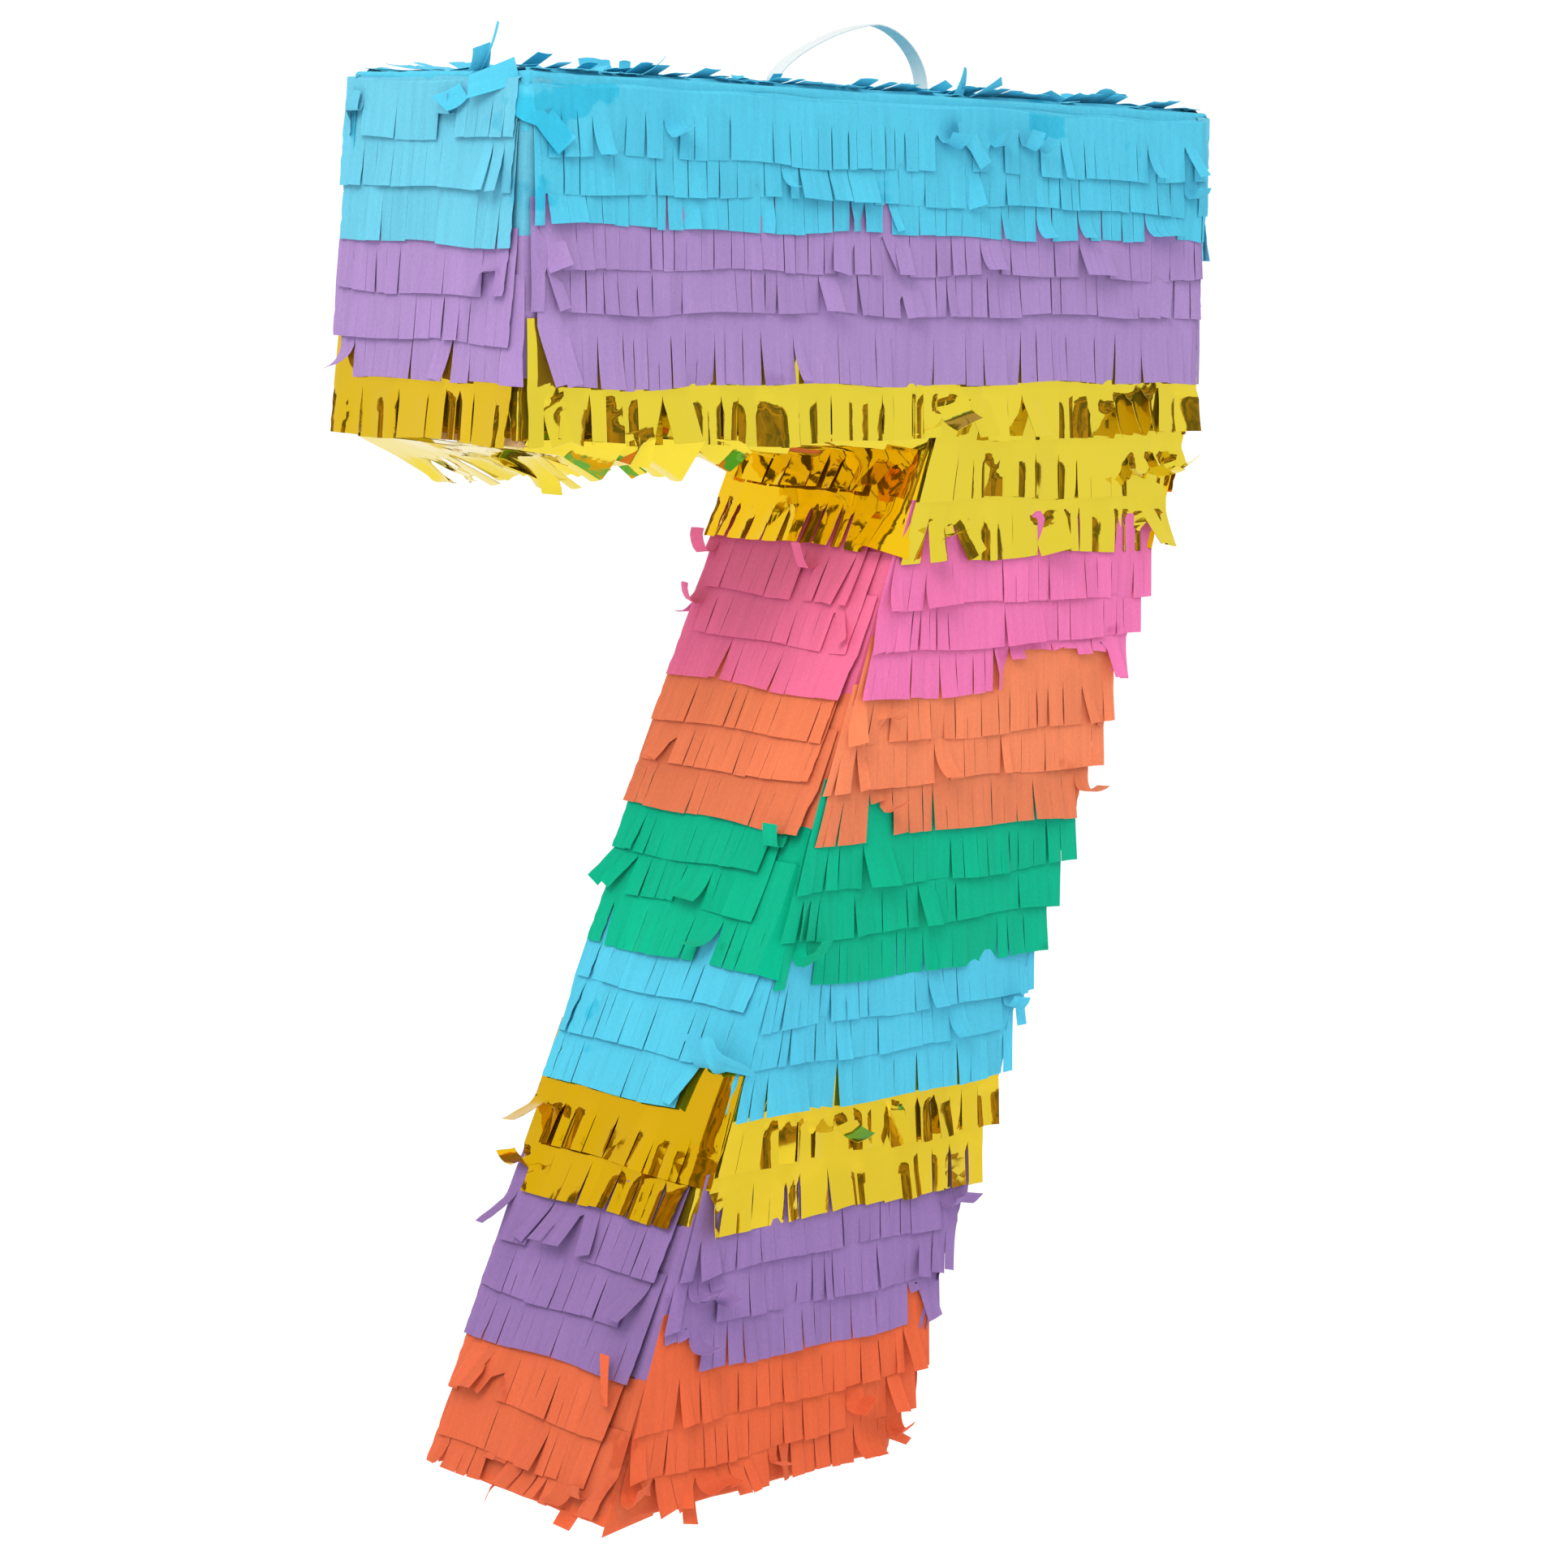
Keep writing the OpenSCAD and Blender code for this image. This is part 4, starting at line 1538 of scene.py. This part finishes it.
@dataclass
class Studio:
    """Camera, lights and floor."""

    eye: Vector = field(default_factory=lambda: Vector((-0.8784, -0.8708, -0.0599)))
    azimuth: float = 44.34
    elevation: float = -7.99
    roll: float = 1.79
    lens: float = 91.9
    floor_drop: float = 0.9

    def camera(self) -> None:
        """Makes the camera."""
        data = bpy.data.cameras.new("camera")
        data.lens = self.lens
        data.sensor_width = 36
        data.clip_start = 0.05
        camera = bpy.data.objects.new("camera", data)
        bpy.context.collection.objects.link(camera)
        aim = Euler((math.radians(90 + self.elevation), 0, math.radians(-self.azimuth))).to_matrix()
        turn = Euler((0, 0, math.radians(self.roll))).to_matrix()
        camera.matrix_world = (aim @ turn).to_4x4()
        camera.location = self.eye
        bpy.context.scene.camera = camera

    def softbox(self, name: str, place: tuple[float, float, float], size: float, watts: float) -> None:
        """Makes one square area light that looks at the pinata's middle."""
        data = bpy.data.lights.new(name, "AREA")
        data.size = size
        data.energy = watts
        data.color = (1.0, 0.90, 0.79)
        light = bpy.data.objects.new(name, data)
        bpy.context.collection.objects.link(light)
        light.location = place
        light.visible_glossy = False
        aim = Vector((0, 0, -0.22)) - Vector(place)
        light.rotation_euler = aim.to_track_quat("-Z", "Y").to_euler()

    def floor(self) -> None:
        """Makes the pale floor, well under the hanging pinata."""
        deselect_all()
        bpy.ops.mesh.primitive_plane_add(size=16, location=(0, 0, 0))
        floor = bpy.context.object
        floor.name = "floor"
        set_coordinates(floor.data, coordinates(floor.data) + np.array([0, 0, -self.floor_drop]))
        floor.data.materials.append(material_of(BACKGROUND))

    def flag(self, name: str, azimuth: float, width: float, height: float, distance: float = 2.2,
             level: float = 0.1) -> None:
        """Makes a black flag that only shows in reflections, as a studio's dark corners do."""
        deselect_all()
        bpy.ops.mesh.primitive_plane_add(size=1.0)
        flag = bpy.context.object
        flag.name = name
        angle = math.radians(azimuth)
        along = np.array([math.cos(angle), math.sin(angle), 0])
        side = np.array([-math.sin(angle), math.cos(angle), 0])
        flat = coordinates(flag.data)
        points = (along * distance + flat[:, :1] * width * side
                  + flat[:, 1:2] * height * np.array([0, 0, 1.0]) + np.array([0, 0, level]))
        set_coordinates(flag.data, points)
        flag.data.materials.append(material_of(FLAG_CLOTH))
        flag.visible_camera = False
        flag.visible_diffuse = False
        flag.visible_shadow = False
        flag.visible_transmission = False

    def world(self) -> None:
        """Makes the white surround."""
        world = bpy.data.worlds.new("white_surround")
        bpy.context.scene.world = world
        world.use_nodes = True
        background = world.node_tree.nodes["Background"]
        background.inputs["Color"].default_value = (1, 1, 1, 1)
        background.inputs["Strength"].default_value = 1.05

    def build(self) -> None:
        """Sets the whole stage."""
        self.world()
        self.floor()
        self.softbox("key_light", (-1.45, -0.8, 1.1), 1.0, 26.0)
        for name, azimuth, width in (("flag_right", -11, 1.6), ("flag_front", -82, 1.6),
                                     ("flag_lens", -135, 0.5), ("flag_left", 169, 1.6),
                                     ("flag_back", 99, 1.6)):
            self.flag(name, azimuth, width, 1.6)
        bpy.context.scene.view_settings.view_transform = "Standard"


# ----------------------------------------------------------------------- main


# How handling has worn the tabs, tier by tier: where along the strip and how far, in millimetres,
# the flaw and its strength
WEAR = {
    "front": {
        0: ((4, 7, SWUNG, 1.3), (49, 5, CURLED, 0.6), (163, 12, CURLED, 0.9), (172, 7, SWUNG, 0.9),
            (184, 9, CURLED, 1.0), (196, 10, CURLED, 0.7), (272, 6, LIFTED, 0.9)),
        1: ((276, 8, CURLED, 0.8), (172, 8, TWISTED, 0.6)),
        2: ((137, 5, SWUNG, 0.6),),
        3: ((6, 6, TWISTED, 0.6), (120, 8, SWUNG, -0.4), (138, 6, SWUNG, 0.8), (151, 9, STUCK),
            (284, 7, CURLED, 0.55)),
        4: ((148, 10, LIFTED, 0.4), (8, 6, SWUNG, 0.5)),
        5: ((8, 9, SWUNG, 0.4), (280, 12, STUCK)),
        6: ((8, 9, TWISTED, 0.5), (20, 8, SWUNG, -0.6), (171, 9, CURLED, 0.4), (180, 6, LIFTED, 0.7),
            (250, 22, TWISTED, 0.5)),
        7: ((262, 24, CURLED, 0.5), (275, 8, SWUNG, 0.6)),
        8: ((163, 7, CURLED, 0.5), (171, 8, SWUNG, 0.9), (215, 7, TWISTED, 0.4),
            (262, 12, LIFTED, 0.9)),
        9: ((262, 8, STUCK),),
        10: ((262, 7, SWUNG, 0.5),),
        11: ((200, 10, TORN, 0.6), (218, 26, TORN, 1.3), (236, 10, TORN, 0.5), (128, 5, SWUNG, 0.3)),
        12: ((128, 9, TWISTED, 0.6), (144, 8, CURLED, 0.8), (232, 7, SWUNG, 0.3)),
        13: ((130, 8, SWUNG, 0.35),),
        14: ((137, 5.5, TORN, 1.0), (147, 6, CURLED, 0.5), (236, 7, CURLED, 0.6)),
        16: ((231, 6, SWUNG, 0.9), (224, 5, STUCK)),
        17: ((98, 8, STUCK), (110, 14, CURLED, 0.9)),
        19: ((202, 7, CURLED, 0.9),),
        20: ((209, 7, SWUNG, 0.4),),
        21: ((131, 14, CURLED, 0.6), (152, 8, TWISTED, 0.8)),
        22: ((78, 8, TWISTED, 0.5),),
        23: ((183, 9, CURLED, 0.8), (75, 8, SWUNG, 0.3)),
        24: ((70, 14, CURLED, 0.6), (176, 12, SWUNG, -0.5)),
        25: ((60, 12, TORN, 1.0), (72, 7, CURLED, 0.5), (163, 6, TORN, 0.9), (171, 7, SWUNG, 0.4)),
        26: ((66, 6, SWUNG, 0.2),),
        27: ((140, 8, CURLED, 0.7), (158, 7, LIFTED, 0.9), (44, 7, SWUNG, 0.3)),
        28: ((48, 18, CURLED, 1.0), (62, 8, SWUNG, 0.5), (105, 9, CURLED, 0.5), (78, 14, CURLED, 0.6),
            (92, 12, LIFTED, 0.7), (160, 8, CURLED, 0.8), (40, 7, CURLED, 0.6), (54, 5, TORN, 0.7),
            (70, 5, TWISTED, 0.6)),
    },
    "left": {
        0: ((3, 8, CURLED, 1.0), (41, 7, CURLED, 0.9)),
        1: ((50, 6, CURLED, 1.1), (60, 12, LIFTED, 0.45)),
        3: ((62, 9, CURLED, 0.4),),
        5: ((-3, 9, CURLED, 0.4), (44, 6, SWUNG, -0.35)),
        9: ((-4, 9, CURLED, 1.0), (44, 6, CURLED, 0.9)),
        10: ((-4, 8, CURLED, 0.7), (60, 6, SWUNG, 1.3)),
        13: ((4, 8, SWUNG, -0.5),),
        15: ((63, 8, CURLED, 1.1),),
        16: ((2, 8, SWUNG, -0.8),),
        17: ((-4, 7, CURLED, 0.6),),
        20: ((57, 8, SWUNG, -0.6), (67, 9, FOLDED, 0.8)),
        21: ((71, 12, STUCK), (-4, 9, LIFTED, 1.4)),
        22: ((-4, 9, CURLED, 0.6),),
        23: ((13, 8, SWUNG, -0.7), (22, 8, LIFTED, 0.6), (30, 7, SWUNG, 0.6), (-4, 6, LIFTED, 1.2)),
        24: ((62, 8, LIFTED, 0.8),),
        26: ((4, 12, LIFTED, 0.6), (14, 7, SWUNG, -0.6)),
        27: ((40, 8, LIFTED, 0.3),),
        28: ((24, 10, TORN, 0.5), (40, 14, LIFTED, 0.6), (62, 10, CURLED, 0.8)),
    },
    "top": {
        2: ((12, 8, LIFTED, 0.3), (48, 14, LIFTED, 0.45), (66, 6, LIFTED, 0.5), (100, 9, LIFTED, 0.2),
            (140, 20, LIFTED, 0.35), (160, 6, TWISTED, 0.4), (186, 8, LIFTED, 0.3),
            (212, 8, LIFTED, 0.25), (240, 14, LIFTED, 0.5), (262, 10, LIFTED, 0.3)),
    },
    "under": {
        0: ((3, 8, LIFTED, 0.5), (30, 8, SWUNG, -0.7), (52, 8, SWUNG, -0.5), (66, 6, SWUNG, 0.5)),
        1: ((0, 5, SWUNG, -0.4), (30, 10, SWUNG, -0.5)),
        2: ((3, 8, LIFTED, 0.7), (40, 10, SWUNG, -0.6)),
        3: ((3, 6, LIFTED, 0.4),),
    },
}

# Where glue soaked into the head of the first tier: along, down and radius, in millimetres
GLUE_STAINS = ((5, 12, 11), (15, 6, 9), (25, 3, 7), (205, 3, 9))

# Loose slips near the top's front left corner and along its front edge, in millimetres
SCRAPS = (
    Scrap((-167.5, -15, -21.5), (-0.25, -0.75, 0.5), (0.8, -0.2, 0.1), 8, 6, 55, 15),
    Scrap((-167, -16, -21), (0, -0.62, 0.78), (0.5, 0.4, 0.3), 15, 1.7, 14, 50, 0.5),
    Scrap((-169.5, -34, -21.5), (-0.10, 0.93, -0.26), (-0.1, 0.25, 0.95), 17, 7, -14, 25),
    Scrap((-171.5, -14, -27), (-0.1, 0.6, -0.5), (0.1, 0.7, 0.6), 8, 6, -50, -30),
    Scrap((-124, -32, -21.2), (0.35, -0.75, 0.3), (0.85, 0.4, 0.1), 9, 6, 25, 15),
    Scrap((3, -34, -21.2), (0.25, -0.3, 0.9), (0.9, 0.2, -0.2), 9, 5, 25, 25),
    Scrap((9, -33, -21.2), (0.6, -0.55, 0.35), (0.6, 0.7, 0), 11, 6, 10, -25),
)

# Loose slips under and beside the foot, in millimetres
FOOT_SCRAPS = (
    Scrap((-127, -36.6, -438), (1, 0.02, 0.05), (0, -0.3, 1), 20, 5, 0, 10, 0.4),
    Scrap((-127, -22, -436), (-0.1, 0.45, -0.75), (0.5, -0.8, -0.1), 6, 6, 20, 20),
    Scrap((-127, 12, -436.5), (0, 0.7, -0.5), (0.9, 0.3, 0.2), 6, 6, 20, -20),
    Scrap((-95, -38, -432), (-0.1, -0.15, -0.9), (0.95, 0, -0.2), 10, 5, 12, 15),
    Scrap((-16, -37.5, -428), (0.85, -0.3, -0.4), (0.3, -0.2, 0.9), 12, 4.5, 25, 25, 0.7),
    Scrap((0, -36, -404), (0.35, -0.1, -0.9), (0.3, -0.9, 0.1), 17, 1.6, 55, 30, 0.4),
    Scrap((-117, -24, -390), (-0.33, -0.35, -0.9), (0, 1, 0), 15, 4, 6, 20),
)


def main() -> None:
    """Builds the pinata's looks in order, and reports each piece."""
    logging.basicConfig(level=logging.INFO, format="%(name)s: %(message)s")
    studio = Studio()
    studio.camera()
    numeral = Numeral()
    RibbonLoop(numeral).build()
    Fringe(numeral, WEAR).build()
    dress_board()
    studio.build()


if __name__ == "__main__":
    main()
